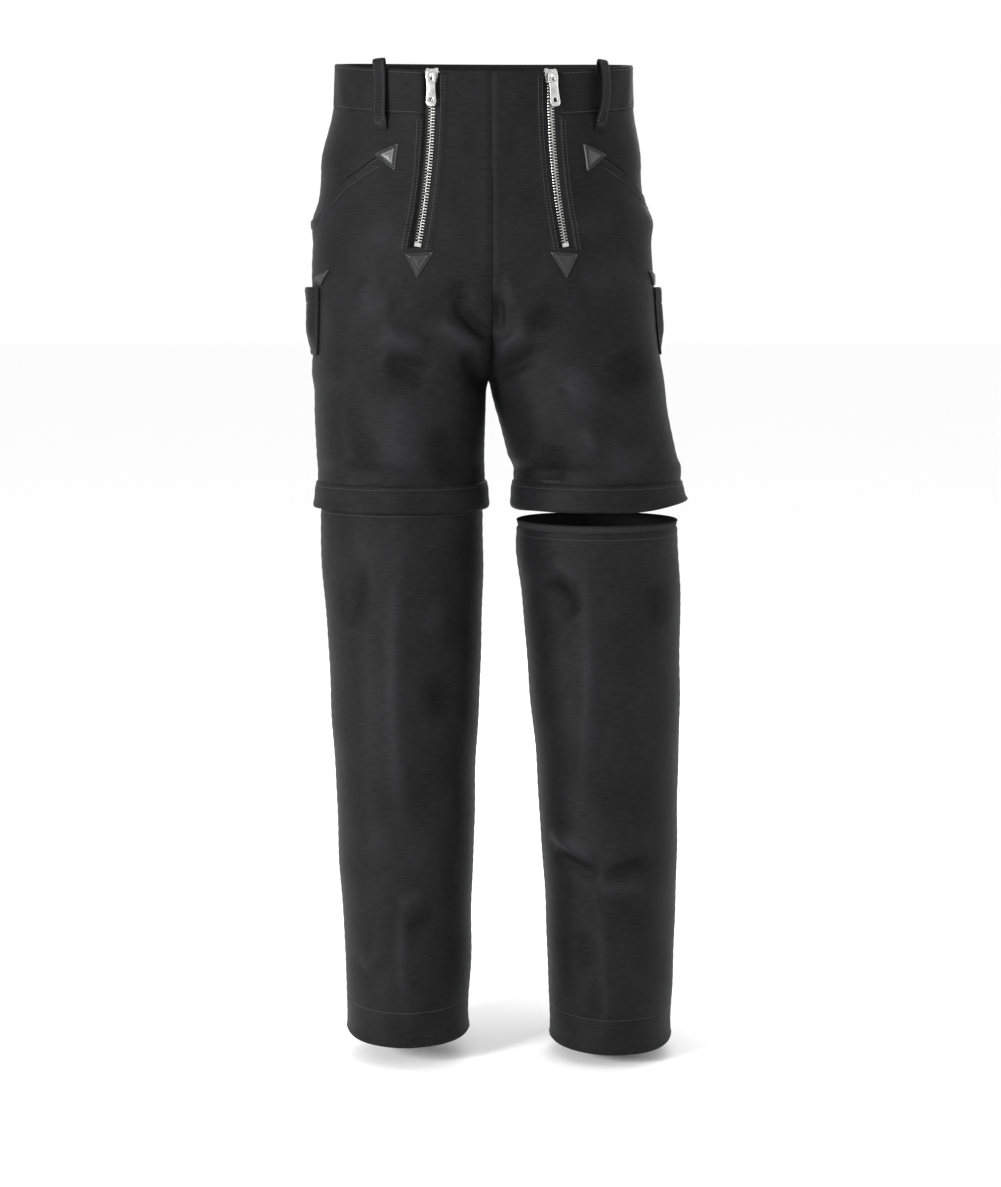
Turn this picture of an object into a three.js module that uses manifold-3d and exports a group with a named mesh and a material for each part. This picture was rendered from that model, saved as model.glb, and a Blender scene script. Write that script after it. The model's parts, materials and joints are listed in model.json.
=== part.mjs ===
// Guild work trousers with zip-off legs, standing as if worn. Millimetres, +Z up, +X to the wearer's
// left, front facing -Y. The origin is the middle of the waistband opening, at the side rim.
import * as THREE from 'three';
import { mergeVertices } from 'three/addons/utils/BufferGeometryUtils.js';
import Module from 'manifold-3d';

const wasm = await Module();
wasm.setup();

// ---------- driving dimensions ----------
const CLOTH = 2.0;                 // trouser cloth with its lining
const FIT = 0.3;                   // gap between pieces that lie on one another
const HIP_HALF_WIDTH = 180;
const WAIST_HALF_WIDTH = HIP_HALF_WIDTH - 21.5;
const WAIST_HALF_DEPTH = 112;
const SEAT_DEPTH = WAIST_HALF_DEPTH + 22;  // how far the seat reaches behind the side seam
const RIM_FRONT = -17;             // the rim dips in front and rises behind
const RIM_BACK = 10;
const WAISTBAND_HEIGHT = 45;
const WAISTBAND_THICKNESS = 3;
const FORK_Z = -337;               // where the legs part
const THIGH_HALF_WIDTH = (HIP_HALF_WIDTH + 10) / 2;
const ZIP_LINE_Z = -461;           // the zips that take the lower legs off
const RING_RADIUS = 87;            // middle of the leg zip's tape
const KNEE_RADIUS = RING_RADIUS + 1;       // lower leg at its zip
const CALF_HALF_WIDTH = 77;
const HEM_HALF_WIDTH = 66;
const HEM_HALF_DEPTH = 78;
const LOWER_LEG_LENGTH = 590;
const HEM_BAND_HEIGHT = 40;
const STANCE = { right: 94.5, left: 119 };     // middle of each leg at its zip, from the centre seam
const FOOT_STANCE = { right: 90.5, left: 137 }; // and at its hem
const DROP = { right: 0, left: 26 };           // the left lower leg is unzipped and hangs lower

// front zips
const FLY_INSET = 61.7;            // least distance from the centre seam
const FLY_BEND_RADIUS = 880;       // the zips curve towards the sides
const FLY_BEND_Z = -36;            // height where they run straight down
const FLY_TOP = -23;               // run along the zip, from the bend height
const FLY_BOTTOM = 160;
const CHAIN_RECESS = 4.7;          // chain middle below the cloth surface
const SLIT_HALF = 8;
const TAPE_HALF = 13;
const TAPE_THICKNESS = 0.8;
const TOOTH_PITCH = 9;
const TOOTH_REACH = 3.3;
const TOOTH_THICKNESS = 3;
const CHAIN_GAP = 0.7;             // half the way left for the slider's post
const SLIDER_LENGTH = 14;
const SLIDER_SHOULDER = 7;
const SLIDER_TAIL = 5.3;
const SLIDER_PLATE = 1.2;
const PULL_LENGTH = 34;
const PULL_HALF_WIDTH = 5;
const PULL_THICKNESS = 1.2;
const PULL_HEIGHT = 3.7;           // pull middle above the cloth surface
const PULL_SLOT = SLIDER_LENGTH - 4.5;     // room in the pull for the slider's bail
const BAIL_HALF_WIDTH = 1.5;

// leg zips
const FLAP_DROP = 13;              // flap edge below the zip line
const FLAP_RADIUS = RING_RADIUS + 7.4;
const FLAP_THICKNESS = 1.5;
const FLAP_SEWN = 6;               // overlap on the thigh
const RING_TAPE = 1.0;
const RING_BEAD = 2.2;
const RING_GAP = 0.6;              // half the way between the two tapes
const LEG_SLIDER_HALF = 6;
const LEG_PULL_LENGTH = 10;
const LEG_SLIDER_ANGLE = 12;       // degrees behind the side seam

// small pieces
const LOOP_WIDTH = 15;
const LOOP_TOP = -3;
const LOOP_BOTTOM = -71;
const LOOP_GAP = 6;
const LOOP_THICKNESS = 2;
const LEATHER = 1.4;
const POUCH = 9;                   // room in a pocket
const THIGH_POCKET_HEIGHT = 72;
const THIGH_POCKET_TOP = -236;
const BACK_POCKET_HEIGHT = 140;
const BACK_POCKET_TOP = -95;
const BACK_POCKET_SPAN = [32, 148];        // from the centre seam
const THIGH_POCKET_SWEEP = [-14, 38];      // degrees in front of and behind the side seam
const HIP_MOUTH = { inner: [120, -101], outer: [178, -144], gap: 3 };
const HIP_BAG = { top: -88, bottom: -245, inner: 98, outerSweep: -7 };
const LOOP_PLACE = { front: 113, back: 88 };
// corners of the leather triangles: distance from the centre seam (or from the zip) and height
const HIP_PATCH = [[96, -90], [100, -116], [119, -100]];
const FLY_END_PATCH = [[-0.5, -201], [26.5, -203], [15.5, -226]];
const BACK_POCKET_PATCH = [[28, -70], [52, -70], [34, -92]];
// and on the thigh pocket: degrees from the side seam and height above the pocket's top
const THIGH_POCKET_PATCH = [[-22, 17], [-15, 2], [-3, 10]];

const FACETS = 12;                 // facets of a panel from seam to seam
const RING_FACETS = 36;            // facets of a round piece about a leg
const LOWER_TOP = ZIP_LINE_Z - 9;
const UPPER_BOTTOM = ZIP_LINE_Z + 10;
const ROUND_HEIGHT = 12;            // the thigh's end is round this far up from its edge

// ---------- materials ----------
const cloth = new THREE.MeshStandardMaterial({ color: '#2b2b2b', roughness: 0.85, metalness: 0 });
const tapeCloth = new THREE.MeshStandardMaterial({ color: '#141414', roughness: 0.9, metalness: 0 });
const leather = new THREE.MeshStandardMaterial({ color: '#181818', roughness: 0.35, metalness: 0 });
const metal = new THREE.MeshStandardMaterial({ color: '#d0d0d0', roughness: 0.25, metalness: 1 });

const garment = new THREE.Group();
const sideSign = { right: -1, left: 1 };

function piece(name, geometry, material, parent = garment) {
  const mesh = new THREE.Mesh(geometry, material);
  mesh.name = name;
  parent.add(mesh);
  return mesh;
}

// ---------- solids ----------
function solidVolume(position, index) {
  const a = new THREE.Vector3();
  const b = new THREE.Vector3();
  const c = new THREE.Vector3();
  let volume = 0;
  for (let i = 0; i < index.length; i += 3) {
    a.fromArray(position, index[i] * 3);
    b.fromArray(position, index[i + 1] * 3);
    c.fromArray(position, index[i + 2] * 3);
    volume += a.dot(b.cross(c)) / 6;
  }
  return volume;
}

function meshFrom(position, index) {
  if (solidVolume(position, index) < 0) index.reverse();
  const geometry = new THREE.BufferGeometry();
  geometry.setAttribute('position', new THREE.Float32BufferAttribute(position, 3));
  geometry.setIndex(index);
  return geometry;
}

// A sheet with thickness: at(u, v, layer) gives a point, with layer 0 outside and 1 inside.
function sheet(columns, rows, at, ring = false) {
  const across = ring ? columns : columns + 1;
  const position = [];
  for (let layer = 0; layer < 2; layer += 1) {
    for (let j = 0; j <= rows; j += 1) {
      for (let i = 0; i < across; i += 1) position.push(...at(i / columns, j / rows, layer));
    }
  }
  const id = (i, j, layer) => (layer * (rows + 1) + j) * across + (i % across);
  const index = [];
  const quad = (a, b, c, d) => index.push(a, b, c, a, c, d);
  for (let j = 0; j < rows; j += 1) {
    for (let i = 0; i < columns; i += 1) {
      quad(id(i, j, 0), id(i, j + 1, 0), id(i + 1, j + 1, 0), id(i + 1, j, 0));
      quad(id(i, j, 1), id(i + 1, j, 1), id(i + 1, j + 1, 1), id(i, j + 1, 1));
    }
  }
  for (let i = 0; i < columns; i += 1) {
    quad(id(i, 0, 0), id(i + 1, 0, 0), id(i + 1, 0, 1), id(i, 0, 1));
    quad(id(i, rows, 0), id(i, rows, 1), id(i + 1, rows, 1), id(i + 1, rows, 0));
  }
  for (let j = 0; j < rows && !ring; j += 1) {
    quad(id(0, j, 0), id(0, j, 1), id(0, j + 1, 1), id(0, j + 1, 0));
    quad(id(columns, j, 0), id(columns, j + 1, 0), id(columns, j + 1, 1), id(columns, j, 1));
  }
  return meshFrom(position, index);
}

function solidOf(geometry) {
  const bare = geometry.clone();
  bare.deleteAttribute('normal');
  bare.deleteAttribute('uv');
  const merged = mergeVertices(bare, 1e-4);
  return new wasm.Manifold(new wasm.Mesh({
    numProp: 3,
    vertProperties: new Float32Array(merged.attributes.position.array),
    triVerts: new Uint32Array(merged.index.array),
  }));
}

function geometryOf(solid) {
  const mesh = solid.getMesh();
  return meshFrom(Array.from(mesh.vertProperties), Array.from(mesh.triVerts));
}

const join = (...parts) => geometryOf(parts.map(solidOf).reduce((a, b) => a.add(b)));
const cut = (body, ...tools) => geometryOf(tools.map(solidOf).reduce((a, b) => a.subtract(b), solidOf(body)));

// A flat outline, given as [x, y] pairs, raised from z = low to z = high.
function raised(outline, low, high) {
  const shape = new THREE.Shape(outline.map(([x, y]) => new THREE.Vector2(x, y)));
  const geometry = new THREE.ExtrudeGeometry(shape, { depth: high - low, bevelEnabled: false });
  return geometry.translate(0, 0, low);
}

function block(x0, x1, y0, y1, z0, z1) {
  return new THREE.BoxGeometry(x1 - x0, y1 - y0, z1 - z0)
    .translate((x0 + x1) / 2, (y0 + y1) / 2, (z0 + z1) / 2);
}

// ---------- the body's shape ----------
// Each half of the trousers is a tube. A station gives its middle x (from the centre seam), half
// width, depth in front and behind, and the power of its superellipse. Above the fork the tubes run
// into each other and each is cut off at the centre seam.
function stationsOf(side) {
  const lean = side === 'right' ? 1 : -1;
  const outer = (half, shift, middle) => half + lean * shift - middle;
  const waist = WAIST_HALF_WIDTH;
  const hip = HIP_HALF_WIDTH;
  const fork = THIGH_HALF_WIDTH;
  const ring = RING_RADIUS + 4;
  const front = WAIST_HALF_DEPTH;
  const knee = STANCE[side];
  const drift = knee - STANCE.right;
  return [
    [30, 0, outer(waist - 1, 4.5, 0), front, front - 4, 2.3],
    [0, 0, outer(waist, 4.5, 0), front, front - 4, 2.3],
    [-50, 0, outer(waist + 2, 5, 0), front + 1, front, 2.3],
    [-110, 0, outer(hip - 8.5, 7, 0), front + 3, SEAT_DEPTH - 10, 2.3],
    [-180, 10, outer(hip, 6.5, 10), front + 5, SEAT_DEPTH, 2.3],
    [-240, 45, outer(hip + 4, 5.5, 45), front + 4, SEAT_DEPTH, 2.35],
    [-300, 80, outer(hip + 7, 3, 80), front, SEAT_DEPTH - 10, 2.35],
    [FORK_Z, fork, fork, front - 4, SEAT_DEPTH - 20, 2.3],
    [FORK_Z - 33, fork + drift * 0.27, fork - 2.5, front - 8, SEAT_DEPTH - 28, 2.2],
    [FORK_Z - 80, fork + drift * 0.72, ring + 0.5, ring + 6, ring + 7, 2.1],
    [UPPER_BOTTOM + ROUND_HEIGHT + 6, knee, ring, ring, ring, 2],
    [UPPER_BOTTOM, knee, ring, ring, ring, 2],
    [UPPER_BOTTOM - 20, knee, ring, ring, ring, 2],
  ];
}

function lowerStationsOf(side) {
  const top = LOWER_TOP + 20;
  const below = (length) => LOWER_TOP - length;
  const knee = STANCE[side];
  const foot = FOOT_STANCE[side];
  const along = (share) => knee + (foot - knee) * share;
  return [
    [top, knee, KNEE_RADIUS, KNEE_RADIUS, KNEE_RADIUS, 2],
    [LOWER_TOP, knee, KNEE_RADIUS, KNEE_RADIUS, KNEE_RADIUS, 2],
    [below(ROUND_HEIGHT + 4), knee, KNEE_RADIUS, KNEE_RADIUS, KNEE_RADIUS, 2],
    [below(80), along(0.3), KNEE_RADIUS - 1, KNEE_RADIUS + 1, KNEE_RADIUS + 2, 2],
    [below(310), along(0.75), CALF_HALF_WIDTH, KNEE_RADIUS - 1, KNEE_RADIUS + 4, 2],
    [below(510), along(1), HEM_HALF_WIDTH + 4, HEM_HALF_DEPTH + 3, HEM_HALF_DEPTH + 6, 2],
    [below(LOWER_LEG_LENGTH), along(1), HEM_HALF_WIDTH, HEM_HALF_DEPTH, HEM_HALF_DEPTH + 2, 2],
    [below(LOWER_LEG_LENGTH + 30), along(1), HEM_HALF_WIDTH, HEM_HALF_DEPTH, HEM_HALF_DEPTH + 2, 2],
  ];
}

const upperStations = { right: stationsOf('right'), left: stationsOf('left') };
const lowerStations = { right: lowerStationsOf('right'), left: lowerStationsOf('left') };

// Smooth values between stations (cubic Hermite, level where a value stops rising or falling).
function stationAt(stations, z) {
  let k = 0;
  while (k < stations.length - 2 && z < stations[k + 1][0]) k += 1;
  const [a, b] = [stations[k], stations[k + 1]];
  const before = stations[Math.max(k - 1, 0)];
  const after = stations[Math.min(k + 2, stations.length - 1)];
  const span = b[0] - a[0];
  const t = (z - a[0]) / span;
  const value = (c) => {
    const rise = b[c] - a[c];
    const turnsA = (a[c] - before[c]) * rise <= 0;
    const turnsB = (after[c] - b[c]) * rise <= 0;
    const slopeA = turnsA ? 0 : (b[c] - before[c]) / (b[0] - before[0]) * span;
    const slopeB = turnsB ? 0 : (after[c] - a[c]) / (after[0] - a[0]) * span;
    return a[c] + t * slopeA + t * t * (3 * rise - 2 * slopeA - slopeB)
      + t * t * t * (slopeA + slopeB - 2 * rise);
  };
  return { middle: value(1), half: value(2), front: value(3), back: value(4), power: value(5) };
}

const signedPower = (value, power) => Math.sign(value) * Math.abs(value) ** power;

// The angle runs from 0 at the side seam to the centre seam or inside leg.
function fullAngle(form, offset) {
  const reach = Math.min(1, Math.max(0, form.middle) / (form.half + offset));
  return Math.acos(-(reach ** (form.power / 2)));
}

function pointOn(side, form, angle, face, offset, z) {
  const depth = (face === 'front' ? form.front : form.back) + offset;
  const x = form.middle + (form.half + offset) * signedPower(Math.cos(angle), 2 / form.power);
  const y = depth * Math.abs(Math.sin(angle)) ** (2 / form.power);
  return [sideSign[side] * Math.max(x, 0), face === 'front' ? -y : y, z];
}

function rimAt(angle, face) {
  const s = (face === 'front' ? -1 : 1) * Math.sin(Math.min(angle, Math.PI / 2));
  return (RIM_BACK - RIM_FRONT) / 2 * s + (RIM_BACK + RIM_FRONT) / 2 * s * s;
}

// A point of the upper garment at a given x (from the centre seam) and height.
function upperAt(side, face, x, z, offset) {
  const form = stationAt(upperStations[side], z);
  const share = Math.min(1, Math.max(-1, (x - form.middle) / (form.half + offset)));
  const angle = Math.acos(signedPower(share, form.power / 2));
  return new THREE.Vector3(...pointOn(side, form, angle, face, offset, z));
}

const seamShift = (side, face, [x, y, z]) => [
  x + sideSign[side] * FIT / 2, y + (face === 'front' ? -1 : 1) * FIT / 2, z];

// A panel of the upper garment between the heights top(angle) and bottom.
function upperPanel(side, face, rows, top, bottom, outside, inside) {
  return sheet(FACETS, rows, (u, v, layer) => {
    const offset = layer ? inside : outside;
    const t = Math.min(1, v * rows / (rows - 1));
    const end = v < 1 ? bottom + ROUND_HEIGHT : bottom;
    const guess = fullAngle(stationAt(upperStations[side], top(Math.PI / 2) * (1 - t) + end * t), offset);
    const z = top(guess * (1 - u)) * (1 - t) + end * t;
    const form = stationAt(upperStations[side], z);
    const angle = fullAngle(form, offset) * (1 - u);
    return seamShift(side, face, pointOn(side, form, angle, face, offset, z));
  });
}

// ---------- front zips ----------
// A zip lies in one plane, turned with the cloth. Its frame has its origin at the middle of the
// zip's bend, +X towards the zip and +Z out of the cloth.
function flyFrame(side) {
  const high = upperAt(side, 'front', FLY_INSET + 0.3, RIM_FRONT, 0);
  const low = upperAt(side, 'front', FLY_INSET + 13, FLY_BEND_Z - FLY_BOTTOM, 0);
  const midZ = (RIM_FRONT + FLY_BEND_Z - FLY_BOTTOM) / 2;
  const inner = upperAt(side, 'front', FLY_INSET - 10, midZ, 0);
  const outer = upperAt(side, 'front', FLY_INSET + 14, midZ, 0);
  const normal = low.clone().sub(high).cross(outer.sub(inner)).normalize();
  if (normal.y > 0) normal.negate();
  const outward = new THREE.Vector3(0, 0, 1).cross(normal).normalize();
  if (outward.x * sideSign[side] < 0) outward.negate();
  const start = upperAt(side, 'front', FLY_INSET, FLY_BEND_Z, 0);
  start.addScaledVector(normal, high.clone().sub(start).dot(normal));
  const inboard = outward.clone().negate();
  const third = normal.clone().cross(inboard);
  const frame = new THREE.Group();
  const turn = new THREE.Matrix4().makeBasis(inboard, third, normal);
  frame.quaternion.setFromRotationMatrix(turn);
  frame.position.copy(start).addScaledVector(outward, FLY_BEND_RADIUS);
  return frame;
}

// across: towards the side of the body; along: down the zip from the bend height
function onArc(side, across, along) {
  const radius = FLY_BEND_RADIUS - across;
  const angle = along / FLY_BEND_RADIUS * sideSign[side];
  return [radius * Math.cos(angle), radius * Math.sin(angle)];
}

function strip(side, nearEdge, farEdge, start, end, steps) {
  const outline = [];
  for (let i = 0; i <= steps; i += 1) outline.push(onArc(side, nearEdge, start + (end - start) * i / steps));
  for (let i = steps; i >= 0; i -= 1) outline.push(onArc(side, farEdge, start + (end - start) * i / steps));
  return outline;
}

// A half chain: a bead on the tape's edge, teeth towards the middle and a top stop. phase staggers
// the two halves.
function halfChain(side, hand, phase) {
  const low = -CHAIN_RECESS - TOOTH_THICKNESS / 2;
  const high = -CHAIN_RECESS + TOOTH_THICKNESS / 2;
  const first = FLY_TOP + 4;
  const last = FLY_BOTTOM - 4;
  const root = TOOTH_REACH - 0.9;
  const patch = (near, far, start, end) => [onArc(side, hand * near, start), onArc(side, hand * far, start),
    onArc(side, hand * far, end), onArc(side, hand * near, end)];
  const bead = raised(strip(side, hand * root, hand * TOOTH_REACH, first, last, 8), low, high);
  const stop = raised(patch(TOOTH_REACH - 0.4, TOOTH_REACH + 3, FLY_TOP, first + 1), low, high);
  const teeth = [];
  for (let along = first + phase; along < last - TOOTH_PITCH / 2; along += TOOTH_PITCH) {
    teeth.push(raised(patch(CHAIN_GAP, root + 0.4, along, along + TOOTH_PITCH * 0.4), low, high));
  }
  return join(bead, stop, ...teeth);
}

const sliderOutline = (side, shoulder, tail, start, end) => [
  onArc(side, -shoulder, start + 2), onArc(side, -shoulder + 2.5, start),
  onArc(side, shoulder - 2.5, start), onArc(side, shoulder, start + 2),
  onArc(side, shoulder, start + 5), onArc(side, tail, end), onArc(side, -tail, end),
  onArc(side, -shoulder, start + 5)];

const box2 = (side, half, start, end) => [
  onArc(side, -half, start), onArc(side, half, start), onArc(side, half, end), onArc(side, -half, end)];

function flySlider(side) {
  const start = FLY_TOP + 1;
  const end = start + SLIDER_LENGTH;
  const clear = TOOTH_THICKNESS / 2 + 0.5;
  const outline = sliderOutline(side, SLIDER_SHOULDER, SLIDER_TAIL, start, end);
  const front = raised(outline, -CHAIN_RECESS + clear, -CHAIN_RECESS + clear + SLIDER_PLATE);
  const rear = raised(outline, -CHAIN_RECESS - clear - SLIDER_PLATE, -CHAIN_RECESS - clear);
  const post = raised(box2(side, CHAIN_GAP - 0.3, start + 1, start + 5), -CHAIN_RECESS - clear - 0.1,
    -CHAIN_RECESS + clear + 0.1);
  const bailTop = PULL_HEIGHT + PULL_THICKNESS / 2 + 1.5;
  const bail = raised(box2(side, BAIL_HALF_WIDTH, start + 1, end - 3), -CHAIN_RECESS + clear + 0.1, bailTop);
  const eye = raised(box2(side, BAIL_HALF_WIDTH + 1, start + 2.4, end - 5.5), PULL_HEIGHT - 1.3,
    PULL_HEIGHT + 1.3);
  return cut(join(front, rear, post, bail), eye);
}

// The pull, in a frame with its origin on its hinge, +X across and -Y down the zip.
function pullPlate(length, half, thickness, slotHalf, slotLength, bar) {
  const outline = [
    [-half + 1, bar], [half - 1, bar], [half, bar - 1], [half - 0.6, -length / 2], [half, -length + 1],
    [half - 1, -length], [-half + 1, -length], [-half, -length + 1], [-half + 0.6, -length / 2],
    [-half, bar - 1]];
  const slot = block(-slotHalf, slotHalf, -slotLength, -bar, -thickness, thickness);
  return cut(raised(outline, -thickness / 2, thickness / 2), slot);
}

function buildFlyZip(side) {
  const frame = flyFrame(side);
  garment.add(frame);
  const tapeLow = -CHAIN_RECESS - TAPE_THICKNESS / 2;
  const tapeHigh = -CHAIN_RECESS + TAPE_THICKNESS / 2;
  for (const [hand, label, phase] of [[-1, 'inner', 0], [1, 'outer', TOOTH_PITCH / 2]]) {
    const outline = strip(side, hand * (TOOTH_REACH + FIT), hand * TAPE_HALF, FLY_TOP + 5 + FIT,
      FLY_BOTTOM + 12, 8);
    const tape = raised(outline, tapeLow, tapeHigh);
    piece(`fly_zip_tape_${label}_${side}`, tape, tapeCloth, frame);
    piece(`fly_zip_chain_${label}_${side}`, halfChain(side, hand, phase), metal, frame);
  }
  const stop = raised(box2(side, TOOTH_REACH, FLY_BOTTOM - 4 + FIT, FLY_BOTTOM), -CHAIN_RECESS - 1.5,
    -CHAIN_RECESS + 1.5);
  piece(`fly_zip_bottom_stop_${side}`, stop, metal, frame);
  piece(`fly_zip_slider_${side}`, flySlider(side), metal, frame);
  const hinge = new THREE.Group();
  const [x, y] = onArc(side, 0, FLY_TOP + 1 + 4.2);
  hinge.position.set(x, y, PULL_HEIGHT);
  // local +Z of the hinge frame is out of the cloth and +Y is up the zip
  hinge.rotation.z = Math.atan2(y, x) + (side === 'left' ? Math.PI : 0);
  frame.add(hinge);
  const pull = pullPlate(PULL_LENGTH, PULL_HALF_WIDTH, PULL_THICKNESS, BAIL_HALF_WIDTH + 0.6, PULL_SLOT, 0.6);
  const hole = block(-2, 2, -PULL_LENGTH + 3, -PULL_LENGTH + 7, -PULL_THICKNESS, PULL_THICKNESS);
  piece(`fly_zip_pull_${side}`, cut(pull, hole), metal, hinge);
}

function slitCutter(side) {
  const frame = flyFrame(side);
  frame.updateMatrixWorld(true);
  const outline = strip(side, -SLIT_HALF, SLIT_HALF, FLY_TOP - 40, FLY_BOTTOM + 1, 12);
  return raised(outline, -30, 30).applyMatrix4(frame.matrixWorld);
}

// ---------- waistband, panels ----------
// The front part of the waistband runs from the zip slit to the side seam, the rear part on to the
// centre of the back.
function waistbandHalf(side) {
  const outside = 0.6;
  const inside = outside - WAISTBAND_THICKNESS;
  const frontForm = (z) => stationAt(upperStations[side], z);
  const startAngle = (z) => {
    const form = frontForm(z);
    const along = FLY_INSET + SLIT_HALF + 1.2 + Math.max(0, FLY_BEND_Z - z) ** 2 / (2 * FLY_BEND_RADIUS);
    return Math.acos(signedPower((along - form.middle) / form.half, form.power / 2));
  };
  const turns = 22;
  return sheet(turns, 3, (u, v, layer) => {
    const offset = layer ? inside : outside;
    const first = startAngle(-WAISTBAND_HEIGHT * v + RIM_FRONT);
    const last = Math.PI / 2;
    const sweep = -first + (first + last) * u;
    const face = sweep < 0 ? 'front' : 'back';
    const angle = Math.abs(sweep);
    const z = rimAt(angle, face) - WAISTBAND_HEIGHT * v;
    const form = frontForm(z);
    const [x, y] = pointOn(side, form, angle, face, offset, z);
    return [x + sideSign[side] * FIT / 2, y, z];
  });
}

function pocketMouth(side) {
  const s = sideSign[side];
  const [[x0, z0], [x1, z1]] = [HIP_MOUTH.inner, HIP_MOUTH.outer];
  const lean = new THREE.Vector2(z0 - z1, x1 - x0).normalize().multiplyScalar(HIP_MOUTH.gap / 2);
  const outline = [[x0 - lean.x, z0 - lean.y], [x1 - lean.x, z1 - lean.y],
    [x1 + lean.x, z1 + lean.y], [x0 + lean.x, z0 + lean.y]].map(([x, z]) => [s * x, z]);
  return raised(outline, 12, 140).rotateX(Math.PI / 2);
}

function buildPanels(side) {
  const flapTop = (angle) => rimAt(angle, 'front');
  const full = upperPanel(side, 'front', 13, flapTop, UPPER_BOTTOM, 0, -CLOTH);
  const band = sheet(FACETS * 2, 1, (u, v, layer) => {
    const angle = Math.PI / 2 * (1 - u) * 1.02 - 0.01;
    const z = rimAt(Math.max(0, angle), 'front') - (v ? WAISTBAND_HEIGHT + FIT : -30);
    const form = stationAt(upperStations[side], z);
    const [x, y] = pointOn(side, form, Math.max(0, angle), 'front', layer ? -12 : 8, z);
    return [x, angle < 0 ? 6 : y, z];
  });
  const flySide = slitInner(side);
  const zone = geometryOf(solidOf(band).subtract(solidOf(flySide)));
  piece(`front_panel_${side}`, cut(full, zone, slitCutter(side), pocketMouth(side)), cloth);
  const backTop = (angle) => rimAt(angle, 'back') - WAISTBAND_HEIGHT - FIT;
  const back = upperPanel(side, 'back', 13, backTop, UPPER_BOTTOM, 0, -CLOTH);
  piece(`back_panel_${side}`, back, cloth);
  piece(`waistband_${side}`, waistbandHalf(side), cloth);
}

// The column between the centre seam and the zip's far slit edge, which the waistband leaves free.
function slitInner(side) {
  const frame = flyFrame(side);
  frame.updateMatrixWorld(true);
  const outline = strip(side, -FLY_INSET - 40, SLIT_HALF - 0.5, FLY_TOP - 60, FLY_BOTTOM, 12);
  return raised(outline, -60, 60).applyMatrix4(frame.matrixWorld);
}

// ---------- leg zips, flaps and lower legs ----------
const chord = (radius, facets) => radius * Math.cos(Math.PI / facets);

// A ring about the leg's middle, from an outline of [radius, height] points.
function ring(outline) {
  const points = [...outline, outline[0]].map(([radius, z]) => new THREE.Vector2(radius, z));
  return new THREE.LatheGeometry(points.reverse(), RING_FACETS).rotateX(Math.PI / 2);
}

function legFrame(side) {
  const frame = new THREE.Group();
  frame.position.set(sideSign[side] * STANCE[side], 0, ZIP_LINE_Z);
  garment.add(frame);
  return frame;
}

function upperRingTape(side, frame) {
  const seat = chord(RING_RADIUS + 4 - CLOTH, FACETS * 2) - FIT;
  const sewn = UPPER_BOTTOM - ZIP_LINE_Z;
  const half = RING_TAPE / 2;
  const bead = RING_BEAD / 2;
  const outline = [
    [seat, sewn + 10], [seat, sewn + 1], [RING_RADIUS + half, sewn - 3], [RING_RADIUS + bead, RING_GAP],
    [RING_RADIUS - bead, RING_GAP], [RING_RADIUS - half, sewn - 2.5], [seat - RING_TAPE, sewn + 1.5],
    [seat - RING_TAPE, sewn + 10]];
  piece(`leg_zip_upper_tape_${side}`, ring(outline), tapeCloth, frame);
}

function lowerRingTape(side, frame) {
  const seat = chord(KNEE_RADIUS - CLOTH, FACETS * 2) - FIT;
  const sewn = LOWER_TOP - ZIP_LINE_Z;
  const half = RING_TAPE / 2;
  const bead = RING_BEAD / 2;
  const outline = [
    [RING_RADIUS + bead, -RING_GAP], [RING_RADIUS + half, sewn + 4], [seat, sewn + 1], [seat, sewn - 12],
    [seat - RING_TAPE, sewn - 12], [seat - RING_TAPE, sewn - 0.5], [RING_RADIUS - half, sewn + 3.5],
    [RING_RADIUS - bead, -RING_GAP]];
  piece(`leg_zip_lower_tape_${side}`, ring(outline), tapeCloth, frame);
}

function hemFlap(side, frame) {
  const top = UPPER_BOTTOM - ZIP_LINE_Z + FLAP_SEWN;
  const bottom = -FLAP_DROP;
  const seat = (RING_RADIUS + 4 + FIT) / Math.cos(Math.PI / RING_FACETS);
  const outline = [[seat + FLAP_THICKNESS, top], [FLAP_RADIUS, top - FLAP_SEWN - 4], [FLAP_RADIUS, bottom],
    [FLAP_RADIUS - FLAP_THICKNESS, bottom], [FLAP_RADIUS - FLAP_THICKNESS, top - FLAP_SEWN - 4],
    [seat, top - FLAP_SEWN + 1], [seat, top]];
  piece(`hem_flap_${side}`, ring(outline), cloth, frame);
}

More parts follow.
